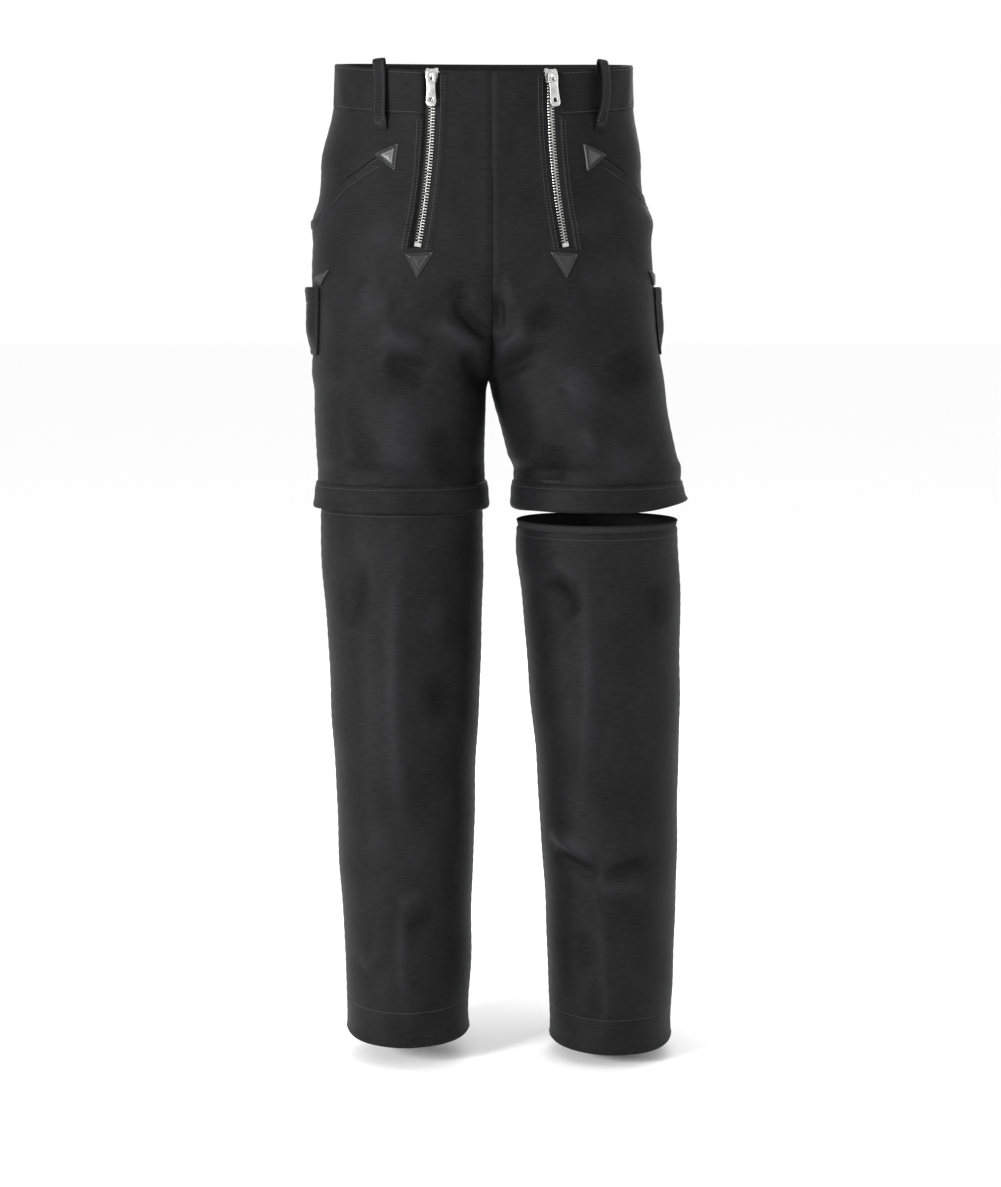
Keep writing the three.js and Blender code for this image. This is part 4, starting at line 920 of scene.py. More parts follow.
def zip_tape(name, label, hand, layers):
    """A woven tape with a corded edge that the teeth grip: columns across it, rows down the arc."""
    zip_line = ZIPS[name]
    across = np.array([2.6, 2.9, 3.3, 3.9, 4.5, 5.0, 6.5, 9.0, 11.5, TAPE_HALF])
    cord = 0.75 * np.exp(-((across - 3.7) / 0.7) ** 2)
    along = np.linspace(ZIP_TOP + 5, ZIP_BOTTOM + 12, 150)
    ripple = 0.05 * np.sin(along * 2.1)[:, None]
    outer = zip_line.at(hand * across[None], along[:, None], -CHAIN_RECESS + 0.35 + cord + ripple)
    inner = zip_line.at(hand * across[None], along[:, None], -CHAIN_RECESS - 0.35 - cord)
    piece = shell(f"fly_zip_tape_{label}_woven_{name}", outer, inner, layers)
    return ready(piece, "garment", "zip_tape_and_lining", f"fly_zip_tape_{label}_{name}")


def rounded(points, softness=0.25, steps=5):
    """A closed outline with its corners cut round."""
    points = np.array(points, float)
    before, after = np.roll(points, 1, axis=0), np.roll(points, -1, axis=0)
    t = np.linspace(0, 1, steps)[None, :, None]
    start = (points + (before - points) * softness)[:, None]
    end = (points + (after - points) * softness)[:, None]
    return ((1 - t) ** 2 * start + 2 * t * (1 - t) * points[:, None] + t**2 * end).reshape(-1, 2)


def zip_slider(name, material):
    """Two shaped plates with turned edges that the closed chain runs between, and a bail for the pull.
    Nothing joins the plates, because a post would stand in the closed row of teeth."""
    zip_line = ZIPS[name]
    start = ZIP_TOP + 1
    body = rounded([(-5.2, 0.2), (5.2, 0.2), (7.1, 2.8), (6.9, 6.2), (5.3, 14), (-5.3, 14), (-6.9, 6.2), (-7.1, 2.8)])
    crown = rounded([(-3.2, 1.6), (3.2, 1.6), (3.6, 7.5), (2.4, 12.6), (-2.4, 12.6), (-3.6, 7.5)])
    clear = 2.0
    parts = [plate(zip_line, start, body, -CHAIN_RECESS + clear, -CHAIN_RECESS + clear + 1.25, 0.5, 0.1),
             plate(zip_line, start, body, -CHAIN_RECESS - clear - 1.2, -CHAIN_RECESS - clear, 0.4),
             plate(zip_line, start, crown, -CHAIN_RECESS + clear + 1.0, -CHAIN_RECESS + clear + 1.9, 0.5, 0.2)]
    for hand in (-1, 1):
        flange = [(hand * 5.0, 3.0), (hand * 6.8, 3.0), (hand * 6.6, 6.2), (hand * 5.1, 13.4), (hand * 4.3, 13.4)]
        parts.append(plate(zip_line, start, flange, -CHAIN_RECESS + 0.6, -CHAIN_RECESS + clear + 0.6, 0.3))
    # the bail is an arch of oval section from the crown's head to its tail
    t = np.linspace(0, 1, 26)
    along = start + 2.0 + 9.0 * t
    height = -CHAIN_RECESS + clear + 1.4 + 6.0 * np.sin(math.pi * np.clip(t, 0, 1)) ** 0.55
    centre = zip_line.at(0, along, height)
    down = np.gradient(centre, axis=0)
    down /= np.linalg.norm(down, axis=1, keepdims=True)
    side_axis = zip_line.axes(along)[1]
    lifted = np.cross(side_axis, down)
    turn = np.arange(8) * math.pi / 4
    ring = centre[:, None] + side_axis[:, None] * np.cos(turn)[None, :, None] * 1.4 \
        + lifted[:, None] * np.sin(turn)[None, :, None] * 0.7
    index = np.arange(26 * 8).reshape(26, 8)
    turned = np.roll(index, -1, axis=1)
    faces = np.concatenate([np.stack([index[:-1], turned[:-1], turned[1:]], -1).reshape(-1, 3),
                            np.stack([index[:-1], turned[1:], index[1:]], -1).reshape(-1, 3),
                            np.stack([turned[0], index[0], np.full(8, 208)], -1),
                            np.stack([index[-1], turned[-1], np.full(8, 209)], -1)])
    if np.einsum("i,i->", np.cross(side_axis[0], lifted[0]), down[0]) < 0:
        faces = faces[:, ::-1]
    parts.append((np.concatenate([ring.reshape(-1, 3), centre[:1], centre[-1:]]), faces))
    parts = [(p, f if signed_volume(p, f) > 0 else f[:, ::-1]) for p, f in parts]
    piece = put_mesh(f"fly_zip_slider_body_{name}", *combine(parts), [material], sharp=40)
    return ready(piece, f"fly_slider_{name}", "metal", f"fly_zip_slider_{name}")


def signed_volume(points, faces):
    """Six times the volume inside triangles, positive when they face out."""
    corner = points[faces]
    return np.einsum("ij,ij->i", corner[:, 0], np.cross(corner[:, 1], corner[:, 2])).sum()


def flat_curve_mesh(outlines, half_thickness, bevel):
    """A flat filled curve with holes and a round bevel, as points (mm) and triangles."""
    curve = bpy.data.curves.new("pull_outline", "CURVE")
    curve.dimensions = "2D"
    curve.fill_mode = "BOTH"
    curve.extrude = half_thickness - bevel
    curve.bevel_depth = bevel
    curve.bevel_resolution = 2
    for outline in outlines:
        spline = curve.splines.new("POLY")
        spline.points.add(len(outline) - 1)
        spline.points.foreach_set("co", np.column_stack([outline, np.zeros(len(outline)), np.ones(len(outline))])
                                  .ravel())
        spline.use_cyclic_u = True
    holder = bpy.data.objects.new("pull_outline", curve)
    bpy.context.collection.objects.link(holder)
    made = bpy.data.meshes.new_from_object(holder.evaluated_get(bpy.context.evaluated_depsgraph_get()))
    bpy.data.objects.remove(holder)
    edit = bmesh.new()
    edit.from_mesh(made)
    bmesh.ops.remove_doubles(edit, verts=edit.verts, dist=1e-4)
    bmesh.ops.triangulate(edit, faces=edit.faces)
    bmesh.ops.recalc_face_normals(edit, faces=edit.faces)
    edit.to_mesh(made)
    edit.free()
    points, faces = np.empty(len(made.vertices) * 3), np.empty(len(made.loops), np.int32)
    made.vertices.foreach_get("co", points)
    made.loops.foreach_get("vertex_index", faces)
    points, faces = points.reshape(-1, 3), faces.reshape(-1, 3)
    bpy.data.meshes.remove(made)
    bpy.data.curves.remove(curve)
    return points, faces


def zip_pull(name, swing, material):
    """The pull tab: a waisted plate with rounded ends, a slot for the bail and a square hole."""
    zip_line = ZIPS[name]
    tab = rounded([(-4.0, 0.8), (4.0, 0.8), (5.0, -3.5), (3.9, -14), (4.4, -24), (5.0, -31), (3.4, -34), (-3.4, -34),
                   (-5.0, -31), (-4.4, -24), (-3.9, -14), (-5.0, -3.5)], 0.3)
    slot = rounded([(-1.95, -0.7), (1.95, -0.7), (1.95, -9.4), (-1.95, -9.4)], 0.3)
    hole = rounded([(-2.2, -25.5), (2.2, -25.5), (2.2, -30.2), (-2.2, -30.2)], 0.2)
    points, faces = flat_curve_mesh([tab, slot, hole], 0.75, 0.35)
    turn = math.radians(swing)
    x = points[:, 0] * math.cos(turn) - points[:, 1] * math.sin(turn)
    y = points[:, 0] * math.sin(turn) + points[:, 1] * math.cos(turn)
    hinge = np.array(JOINTS[f"fly_zip_pull_hinge_{name}"]["pos_m"], float) / MM
    down, _, out = zip_line.axes(np.array([ZIP_TOP + 5.2]))
    right = np.cross(-down[0], out[0])
    place = hinge + x[:, None] * right - y[:, None] * down[0] + points[:, 2:3] * out[0]
    piece = put_mesh(f"fly_zip_pull_tab_{name}", place, faces, [material], sharp=35)
    return ready(piece, f"fly_pull_{name}", "metal", f"fly_zip_pull_{name}")


def bottom_stop(name, material):
    """The box at the lower end of the chain: a bevelled clamp with a pressed middle."""
    zip_line = ZIPS[name]
    box = rounded([(-3.9, -0.4), (3.9, -0.4), (3.9, 4.2), (-3.9, 4.2)], 0.12, 3)
    ridge_plate = rounded([(-2.9, 0.8), (2.9, 0.8), (2.9, 3.0), (-2.9, 3.0)], 0.2, 3)
    parts = [plate(zip_line, ZIP_BOTTOM - 4, box, -CHAIN_RECESS - 1.5, -CHAIN_RECESS + 1.6, 0.5),
             plate(zip_line, ZIP_BOTTOM - 4, ridge_plate, -CHAIN_RECESS + 1.4, -CHAIN_RECESS + 2.0, 0.25)]
    piece = put_mesh(f"fly_zip_stop_{name}", *combine(parts), [material], sharp=40)
    return ready(piece, "garment", "metal", f"fly_zip_bottom_stop_{name}")


# ---------- leg zips ----------
def leg_tape(name, upper, layers, coil_material):
    """A ring of tape and, along its edge, the coil: a helix wound round the ring."""
    side = SIDES[name]
    drop = 0 if upper else DROP[side]
    body = "garment" if upper else f"lower_leg_{name}"
    middle = np.array([side * STANCE[side], 0, ZIP_LINE_Z - drop])
    turn = np.linspace(0, 2 * math.pi, 180, endpoint=False)[None]
    sign = 1 if upper else -1
    sewn = (UPPER_BOTTOM if upper else LOWER_TOP) - ZIP_LINE_Z
    seat = (RING_RADIUS + 4 if upper else KNEE_RADIUS) - CLOTH - FIT - 0.4
    profile = smooth_path([(RING_RADIUS, sign * 1.1), (RING_RADIUS, sewn - sign * 3.5), (seat, sewn + sign * 1),
                           (seat, sewn + sign * 11)], 24)

    def ring(radius, height):
        radius, height = radius[:, None], height[:, None] + 0 * turn
        return middle + np.stack([radius * np.cos(turn), radius * np.sin(turn), height], -1)

    outer = ring(profile[:, 0] + 0.45, profile[:, 1])
    inner = ring(profile[:, 0] - 0.45, profile[:, 1])
    label = "upper" if upper else "lower"
    tape = shell(f"leg_zip_{label}_tape_woven_{name}", outer, inner, layers, wrap=True)
    ready(tape, body, "zip_tape_and_lining", f"leg_zip_{label}_tape_{name}")
    turns, per_turn = 250, 8
    t = np.arange(turns * per_turn) / (turns * per_turn) * 2 * math.pi
    wind = t * turns
    radius = RING_RADIUS + 0.95 * np.cos(wind)
    centre = middle + np.stack([radius * np.cos(t), radius * np.sin(t), sign * 1.75 + 0.8 * np.sin(wind)], -1)
    step = np.roll(centre, -1, axis=0) - np.roll(centre, 1, axis=0)
    step /= np.linalg.norm(step, axis=1, keepdims=True)
    level = np.stack([-np.sin(t), np.cos(t), np.zeros_like(t)], -1)
    first = np.cross(step, level)
    first /= np.linalg.norm(first, axis=1, keepdims=True)
    second = np.cross(step, first)
    around = np.arange(5) * 2 * math.pi / 5
    coil = tube(f"leg_zip_{label}_coil_{name}", centre, first[:, None] * np.cos(around)[None, :, None] * 0.42,
                second[:, None] * np.sin(around)[None, :, None] * 0.42, [coil_material], closed=True)
    ready(coil, body, "zip_tape_and_lining")


# ---------- materials ----------
def linear(hex_code):
    """An sRGB hex colour as linear RGBA."""
    values = [int(hex_code[i:i + 2], 16) / 255 for i in (1, 3, 5)]
    return tuple(v / 12.92 if v <= 0.04045 else ((v + 0.055) / 1.055) ** 2.4 for v in values) + (1.0,)


def node(tree, kind, inputs=None, **settings):
    """Adds a node, sets its properties, and sets or links its inputs by name or number."""
    made = tree.nodes.new(kind)
    for key, value in settings.items():
        setattr(made, key, value)
    for key, value in (inputs or {}).items():
        socket = made.inputs[key]
        if isinstance(value, bpy.types.NodeSocket):
            tree.links.new(value, socket)
        else:
            socket.default_value = value
    return made


def new_material(name):
    """A material, its node tree and its main shader."""
    material = bpy.data.materials.new(name)
    material.use_nodes = True
    tree = material.node_tree
    return material, tree, tree.nodes["Principled BSDF"]


def ramp(tree, factor, low, high, colour_low, colour_high):
    """Blends one colour into another as the factor goes from low to high."""
    made = node(tree, "ShaderNodeValToRGB", {"Fac": factor})
    made.color_ramp.elements[0].position, made.color_ramp.elements[0].color = low, colour_low
    made.color_ramp.elements[1].position, made.color_ramp.elements[1].color = high, colour_high
    return made.outputs["Color"]


def woven_cloth(name, dark, light, sheen, rough, thread):
    """Satin-weave cotton. Filling threads lie across it every thread width, each one uneven in
    thickness, which gives the fine level streaks; broad mottling is where the nap has been brushed."""
    material, tree, shader = new_material(name)
    uv = node(tree, "ShaderNodeUVMap", uv_map="cloth").outputs["UV"]
    # streaks of uneven thread, about 14 mm long and 1.2 mm high, drawn coarser than real ones to show
    streaks = node(tree, "ShaderNodeMapping", {"Vector": uv, "Scale": (70, 850, 1)}).outputs["Vector"]
    slub = node(tree, "ShaderNodeTexNoise", {"Vector": streaks, "Scale": 1, "Detail": 3, "Roughness": 0.6})
    # warp ends show through every 0.7 mm as short uprights
    upright = node(tree, "ShaderNodeMapping", {"Vector": uv, "Scale": (1400, 160, 1)}).outputs["Vector"]
    warp = node(tree, "ShaderNodeTexNoise", {"Vector": upright, "Scale": 1, "Detail": 2})
    # brushed patches, some 60 mm across
    nap = node(tree, "ShaderNodeTexNoise", {"Vector": uv, "Scale": 16, "Detail": 4, "Roughness": 0.55})
    both = node(tree, "ShaderNodeMix", {"Factor": 0.3, 2: slub.outputs["Fac"], 3: warp.outputs["Fac"]})
    mixed = node(tree, "ShaderNodeMix", {"Factor": 0.3, 2: both.outputs[0], 3: nap.outputs["Fac"]})
    # ridges of the folds carry a painted highlight and are glossier, hollows carry a painted shade
    fold_shade_and_highlight = node(tree, "ShaderNodeAttribute", attribute_name="fold_shade_and_highlight").outputs["Fac"]
    shade = node(tree, "ShaderNodeMath", {0: fold_shade_and_highlight, 1: 0.17, 2: mixed.outputs[0]}, operation="MULTIPLY_ADD").outputs[0]
    colour = ramp(tree, shade, 0.3, 0.7, dark, light)
    # single filling threads, one every thread width
    rows = node(tree, "ShaderNodeMapping", {"Vector": uv, "Scale": (0, 1 / thread, 0)}).outputs["Vector"]
    threads = node(tree, "ShaderNodeTexWave", {"Vector": rows, "Scale": 0.5, "Distortion": 0.6},
                   bands_direction="Y")
    height = node(tree, "ShaderNodeMix", {"Factor": 0.55, 2: threads.outputs["Fac"], 3: both.outputs[0]})
    bump = node(tree, "ShaderNodeBump", {"Height": height.outputs[0], "Strength": 0.35, "Distance": 0.0003})
    broad = node(tree, "ShaderNodeBump", {"Height": nap.outputs["Fac"], "Strength": 0.25, "Distance": 0.004,
                                          "Normal": bump.outputs["Normal"]})
    roughness = node(tree, "ShaderNodeMapRange", {"Value": shade, "To Min": rough + 0.12, "To Max": rough - 0.1})
    tree.links.new(colour, shader.inputs["Base Color"])
    tree.links.new(roughness.outputs["Result"], shader.inputs["Roughness"])
    tree.links.new(broad.outputs["Normal"], shader.inputs["Normal"])
    shader.inputs["Specular IOR Level"].default_value = 0.07
    shader.inputs["Sheen Weight"].default_value = sheen
    shader.inputs["Sheen Roughness"].default_value = 0.45
    shader.inputs["Sheen Tint"].default_value = (0.75, 0.77, 0.8, 1)
    return material


def tape_weave(colour):
    """Herringbone polyester tape: ribs 1.1 mm apart that give the black tape its dull rows."""
    material, tree, shader = new_material("polyester_zip_tape")
    uv = node(tree, "ShaderNodeUVMap", uv_map="cloth").outputs["UV"]
    ribs = node(tree, "ShaderNodeTexWave", {"Vector": uv, "Scale": 140, "Distortion": 1.5, "Detail": 1},
                bands_direction="DIAGONAL")
    fuzz = node(tree, "ShaderNodeTexNoise", {"Vector": uv, "Scale": 900, "Detail": 2})
    mixed = node(tree, "ShaderNodeMix", {"Factor": 0.4, 2: ribs.outputs["Fac"], 3: fuzz.outputs["Fac"]})
    bump = node(tree, "ShaderNodeBump", {"Height": mixed.outputs[0], "Strength": 0.5, "Distance": 0.0003})
    light = tuple(min(1, c * 1.9) for c in colour[:3]) + (1,)
    tree.links.new(ramp(tree, mixed.outputs[0], 0.3, 0.8, colour, light), shader.inputs["Base Color"])
    tree.links.new(bump.outputs["Normal"], shader.inputs["Normal"])
    shader.inputs["Roughness"].default_value = 0.85
    shader.inputs["Specular IOR Level"].default_value = 0.25
    return material


def polished_leather(colour):
    """Black box leather: pores and creases under a glossy finish, with a painted highlight that makes the rim a shade
    lighter.
    """
    material, tree, shader = new_material("polished_leather")
    place = node(tree, "ShaderNodeTexCoord").outputs["Object"]
    # grain cells about 0.6 mm across
    grain = node(tree, "ShaderNodeTexVoronoi", {"Vector": place, "Scale": 1600}, feature="DISTANCE_TO_EDGE")
    crease = node(tree, "ShaderNodeTexNoise", {"Vector": place, "Scale": 260, "Detail": 5, "Roughness": 0.6})
    # painted highlight: convex edges a shade lighter, found from the surface's own curvature
    rim_painted_highlight = ramp(tree, node(tree, "ShaderNodeNewGeometry").outputs["Pointiness"], 0.5, 0.6, colour, linear("#3c3c3e"))
    patchy = node(tree, "ShaderNodeMix", {"Factor": crease.outputs["Fac"], 6: colour, 7: rim_painted_highlight}, data_type="RGBA")
    height = node(tree, "ShaderNodeMix", {"Factor": 0.5, 2: grain.outputs["Distance"], 3: crease.outputs["Fac"]})
    bump = node(tree, "ShaderNodeBump", {"Height": height.outputs[0], "Strength": 0.35, "Distance": 0.0004})
    roughness = node(tree, "ShaderNodeMapRange", {"Value": crease.outputs["Fac"], "To Min": 0.34, "To Max": 0.6})
    tree.links.new(patchy.outputs[2], shader.inputs["Base Color"])
    tree.links.new(roughness.outputs["Result"], shader.inputs["Roughness"])
    tree.links.new(bump.outputs["Normal"], shader.inputs["Normal"])
    shader.inputs["Specular IOR Level"].default_value = 0.3
    shader.inputs["Coat Weight"].default_value = 0.2
    shader.inputs["Coat Roughness"].default_value = 0.3
    return material


def nickel_plate(colour):
    """Bright nickel on brass: fine rubbing marks and faint clouding that break up its reflections."""
    material, tree, shader = new_material("nickel_plated_brass")
    place = node(tree, "ShaderNodeTexCoord").outputs["Object"]
    stretched = node(tree, "ShaderNodeMapping", {"Vector": place, "Scale": (1, 1, 0.12)}).outputs["Vector"]
    # scratches 0.3 mm apart that run down the tab
    scratch = node(tree, "ShaderNodeTexNoise", {"Vector": stretched, "Scale": 3200, "Detail": 3})
    cloud = node(tree, "ShaderNodeTexNoise", {"Vector": place, "Scale": 220, "Detail": 3})
    dull = tuple(c * 0.72 for c in colour[:3]) + (1,)
    tree.links.new(ramp(tree, cloud.outputs["Fac"], 0.3, 0.7, dull, colour), shader.inputs["Base Color"])
    roughness = node(tree, "ShaderNodeMapRange", {"Value": cloud.outputs["Fac"], "To Min": 0.16, "To Max": 0.34})
    bump = node(tree, "ShaderNodeBump", {"Height": scratch.outputs["Fac"], "Strength": 0.08, "Distance": 0.0002})
    tree.links.new(roughness.outputs["Result"], shader.inputs["Roughness"])
    tree.links.new(bump.outputs["Normal"], shader.inputs["Normal"])
    shader.inputs["Metallic"].default_value = 1.0
    return material


def sewing_thread(colour):
    """Twisted polyester thread: plies 0.25 mm apart catch the light along each stitch."""
    material, tree, shader = new_material("sewing_thread")
    place = node(tree, "ShaderNodeTexCoord").outputs["Object"]
    plies = node(tree, "ShaderNodeTexNoise", {"Vector": place, "Scale": 4000, "Detail": 1})
    light = tuple(min(1, c * 1.8) for c in colour[:3]) + (1,)
    tree.links.new(ramp(tree, plies.outputs["Fac"], 0.35, 0.65, colour, light), shader.inputs["Base Color"])
    bump = node(tree, "ShaderNodeBump", {"Height": plies.outputs["Fac"], "Strength": 0.4, "Distance": 0.0002})
    tree.links.new(bump.outputs["Normal"], shader.inputs["Normal"])
    shader.inputs["Roughness"].default_value = 0.5
    return material


FINISHES = {}


def finishes(colours):
    """The trousers' materials, made once."""
    if not FINISHES:
        cloth = tuple(colours.cloth) + (1,)
        FINISHES.update(
            cloth=woven_cloth("satin_weave_cotton", tuple(c * 0.2 for c in cloth[:3]) + (1,),
                              tuple(c * 1.9 for c in cloth[:3]) + (1,), 0.012, 0.5, 0.00045),
            lining=woven_cloth("pocket_cotton", linear("#121212"), linear("#222223"), 0.01, 0.8, 0.0005),
            tape=tape_weave(tuple(colours.tape) + (1,)),
            leather=polished_leather(tuple(colours.leather) + (1,)),
            metal=nickel_plate(tuple(colours.metal) + (1,)),
            thread=sewing_thread(tuple(colours.thread) + (1,)))
    return FINISHES


# ---------- settings ----------
def colour_property(name, description, hex_code):
    """A colour setting with its default."""
    return bpy.props.FloatVectorProperty(name=name, description=description, subtype="COLOR", size=3, min=0,
                                         max=1, default=linear(hex_code)[:3])


class TrouserSizes(bpy.types.PropertyGroup):
    """Sizes of the small work on the trousers."""
    tooth_pitch: bpy.props.FloatProperty(name="Tooth pitch", description="Distance between teeth on one side of a "
                                         "front zip", default=0.003, min=0.002, max=0.006, unit="LENGTH")
    stitch_pitch: bpy.props.FloatProperty(name="Stitch pitch", description="Length of one stitch with its gap",
                                          default=0.0032, min=0.002, max=0.006, unit="LENGTH")
    thread_width: bpy.props.FloatProperty(name="Thread width", description="Thickness of the sewing thread",
                                          default=0.0008, min=0.0003, max=0.002, unit="LENGTH")
    loop_slack: bpy.props.FloatProperty(name="Belt loop slack", description="How far the wearer's left front loop "
                                        "bows out", default=0.004, min=0, max=0.008, unit="LENGTH")
    pull_swing: bpy.props.FloatProperty(name="Pull swing", description="How far the left front pull hangs from "
                                        "the line of its zip", default=math.radians(6), subtype="ANGLE")


class TrouserColours(bpy.types.PropertyGroup):
    """Colours of the trousers' materials."""
    cloth: colour_property("Cloth", "Charcoal black cotton", "#131314")
    tape: colour_property("Zip tape", "Black polyester tape", "#101011")
    leather: colour_property("Leather", "Black polished leather", "#131314")
    metal: colour_property("Metal", "Nickel-plated zips", "#cfcfcd")
    thread: colour_property("Thread", "Charcoal sewing thread", "#1c1c1d")
    floor: colour_property("Floor", "Pale studio floor", "#fdfdfd")


class TrouserPiece:
    """What the makers of pieces share: an undo step and the settings."""
    bl_options = {"REGISTER", "UNDO"}

    def settings(self, context):
        scene = context.scene
        return scene.trouser_sizes, finishes(scene.trouser_colours)


# ---------- operators ----------
class TROUSERS_OT_upper(TrouserPiece, bpy.types.Operator):
    """Front and back panels of the upper garment"""
    bl_idname = "trousers.upper"
    bl_label = "Upper panels"

    def execute(self, context):
        _, finish = self.settings(context)
        layers = [finish["cloth"], finish["lining"]]
        for name in SIDES:
            front = front_panel(name, layers)
            back = back_panel(name, layers)
        return {"FINISHED"}


class TROUSERS_OT_waistband(TrouserPiece, bpy.types.Operator):
    """Both halves of the waistband"""
    bl_idname = "trousers.waistband"
    bl_label = "Waistband"

    def execute(self, context):
        _, finish = self.settings(context)
        for name in SIDES:
            waistband(name, [finish["cloth"], finish["lining"]])
        return {"FINISHED"}


class TROUSERS_OT_lower_legs(TrouserPiece, bpy.types.Operator):
    """Lower legs, their hems and the flaps over their zips"""
    bl_idname = "trousers.lower_legs"
    bl_label = "Lower legs and hem flaps"

    def execute(self, context):
        _, finish = self.settings(context)
        layers = [finish["cloth"], finish["lining"]]
        for name in SIDES:
            for face in (-1, 1):
                panel = lower_panel(name, face, layers)
            hem_band(name, [finish["cloth"]])
            hem_flap(name, layers)
        return {"FINISHED"}


class TROUSERS_OT_pockets(TrouserPiece, bpy.types.Operator):
    """Hip pocket bags, thigh pockets and back pockets"""
    bl_idname = "trousers.pockets"
    bl_label = "Pockets"

    def execute(self, context):
        _, finish = self.settings(context)
        layers = [finish["cloth"], finish["lining"]]
        for name, side in SIDES.items():
            turned = POCKET_TURN[side]
            pouch("hip_pocket_bag", name, [finish["lining"]], side, -1, -88, -245,
                  lambda z, s=side: around_at("upper", s, -1, 98, z),
                  lambda z: np.full_like(z, -math.radians(7)), 9, 1)
            pouch("thigh_pocket", name, layers, side, 1, THIGH_POCKET_TOP, THIGH_POCKET_TOP - THIGH_POCKET_HEIGHT,
                  lambda z, t=turned: np.full_like(z, math.radians(-14 - t)),
                  lambda z, t=turned: np.full_like(z, math.radians(38 - t)), 5, CLOTH)
            pouch("back_pocket", name, layers, side, 1, BACK_POCKET_TOP, BACK_POCKET_TOP - BACK_POCKET_HEIGHT,
                  lambda z, s=side: around_at("upper", s, 1, 32, z),
                  lambda z, s=side: around_at("upper", s, 1, 148, z), 5, CLOTH, 72, 72)
        return {"FINISHED"}


def patch_corners(side):
    """Corners of the leather triangles as angle and height."""
    def at(face, x, z):
        return float(around_at("upper", side, face, x, np.array(float(z)))), z

    foot, turned = FLY_INSET + 12.5, POCKET_TURN[side]
    degrees = math.radians
    return {
        "hip_pocket_patch": ([at(-1, 96, -90), at(-1, 100, -116), at(-1, 119, -100)], FIT),
        "fly_end_patch": ([at(-1, foot - 13, -201), at(-1, foot + 14, -203), at(-1, foot + 3, -226)], FIT),
        "back_pocket_patch": ([at(1, 28, -70), at(1, 52, -70), at(1, 34, -92)], FIT),
        "thigh_pocket_patch": ([(degrees(-22 - turned), THIGH_POCKET_TOP + 17),
                                (degrees(-15 - turned), THIGH_POCKET_TOP + 2),
                                (degrees(-3 - turned), THIGH_POCKET_TOP + 10)], FIT * 3)}


class TROUSERS_OT_leather(TrouserPiece, bpy.types.Operator):
    """Leather triangles at the ends of the pockets and front zips"""
    bl_idname = "trousers.leather"
    bl_label = "Leather corners"

    def execute(self, context):
        sizes, finish = self.settings(context)
        for name, side in SIDES.items():
            runs = [leather_corner(label, name, corners, seat, finish["leather"])
                    for label, (corners, seat) in patch_corners(side).items()]
            sew(f"leather_stitching_{name}", "garment", runs, sizes, finish["thread"])
        return {"FINISHED"}


class TROUSERS_OT_belt_loops(TrouserPiece, bpy.types.Operator):
    """Five belt loops with their stitching"""
    bl_idname = "trousers.belt_loops"
    bl_label = "Belt loops"

    def execute(self, context):
        sizes, finish = self.settings(context)
        slack = sizes.loop_slack / MM
        runs = belt_loop("belt_loop_front_right", -1, -1, 113, -3.0, 1.2, finish["cloth"])
        runs += belt_loop("belt_loop_front_left", 1, -1, 113, slack, -2.2, finish["cloth"])
        for name, side in SIDES.items():
            runs += belt_loop(f"belt_loop_rear_{name}", side, 1, 88, 0.5, 0.8 * side, finish["cloth"])
        runs += belt_loop("belt_loop_centre_back", 1, 1, 0, 0.5, 0.5, finish["cloth"])
        sew("belt_loop_stitching", "garment", runs, sizes, finish["thread"])
        return {"FINISHED"}


class TROUSERS_OT_front_zips(TrouserPiece, bpy.types.Operator):
    """Tapes, teeth, stops, sliders and pulls of the two front zips"""
    bl_idname = "trousers.front_zips"
    bl_label = "Front zips"

    def execute(self, context):
        sizes, finish = self.settings(context)
        for name in SIDES:
            for label, hand in (("inner", -1), ("outer", 1)):
                zip_tape(name, label, hand, [finish["tape"]])
                zip_chain(name, label, hand, sizes.tooth_pitch / MM, finish["metal"])
            bottom_stop(name, finish["metal"])
            zip_slider(name, finish["metal"])
            zip_pull(name, math.degrees(sizes.pull_swing) if name == "left" else 0.0, finish["metal"])
        return {"FINISHED"}


class TROUSERS_OT_leg_zips(TrouserPiece, bpy.types.Operator):
    """Tapes and coils of the leg zips, and the finish of their sliders"""
    bl_idname = "trousers.leg_zips"
    bl_label = "Leg zips"

    def execute(self, context):
        _, finish = self.settings(context)
        for name in SIDES:
            for upper in (True, False):
                leg_tape(name, upper, [finish["tape"]], finish["tape"])
            for label in ("slider", "pull"):
                solid = frame["nodes"][f"leg_zip_{label}_{name}"]
                for slot in solid.material_slots:
                    slot.material = finish["metal"]
        return {"FINISHED"}


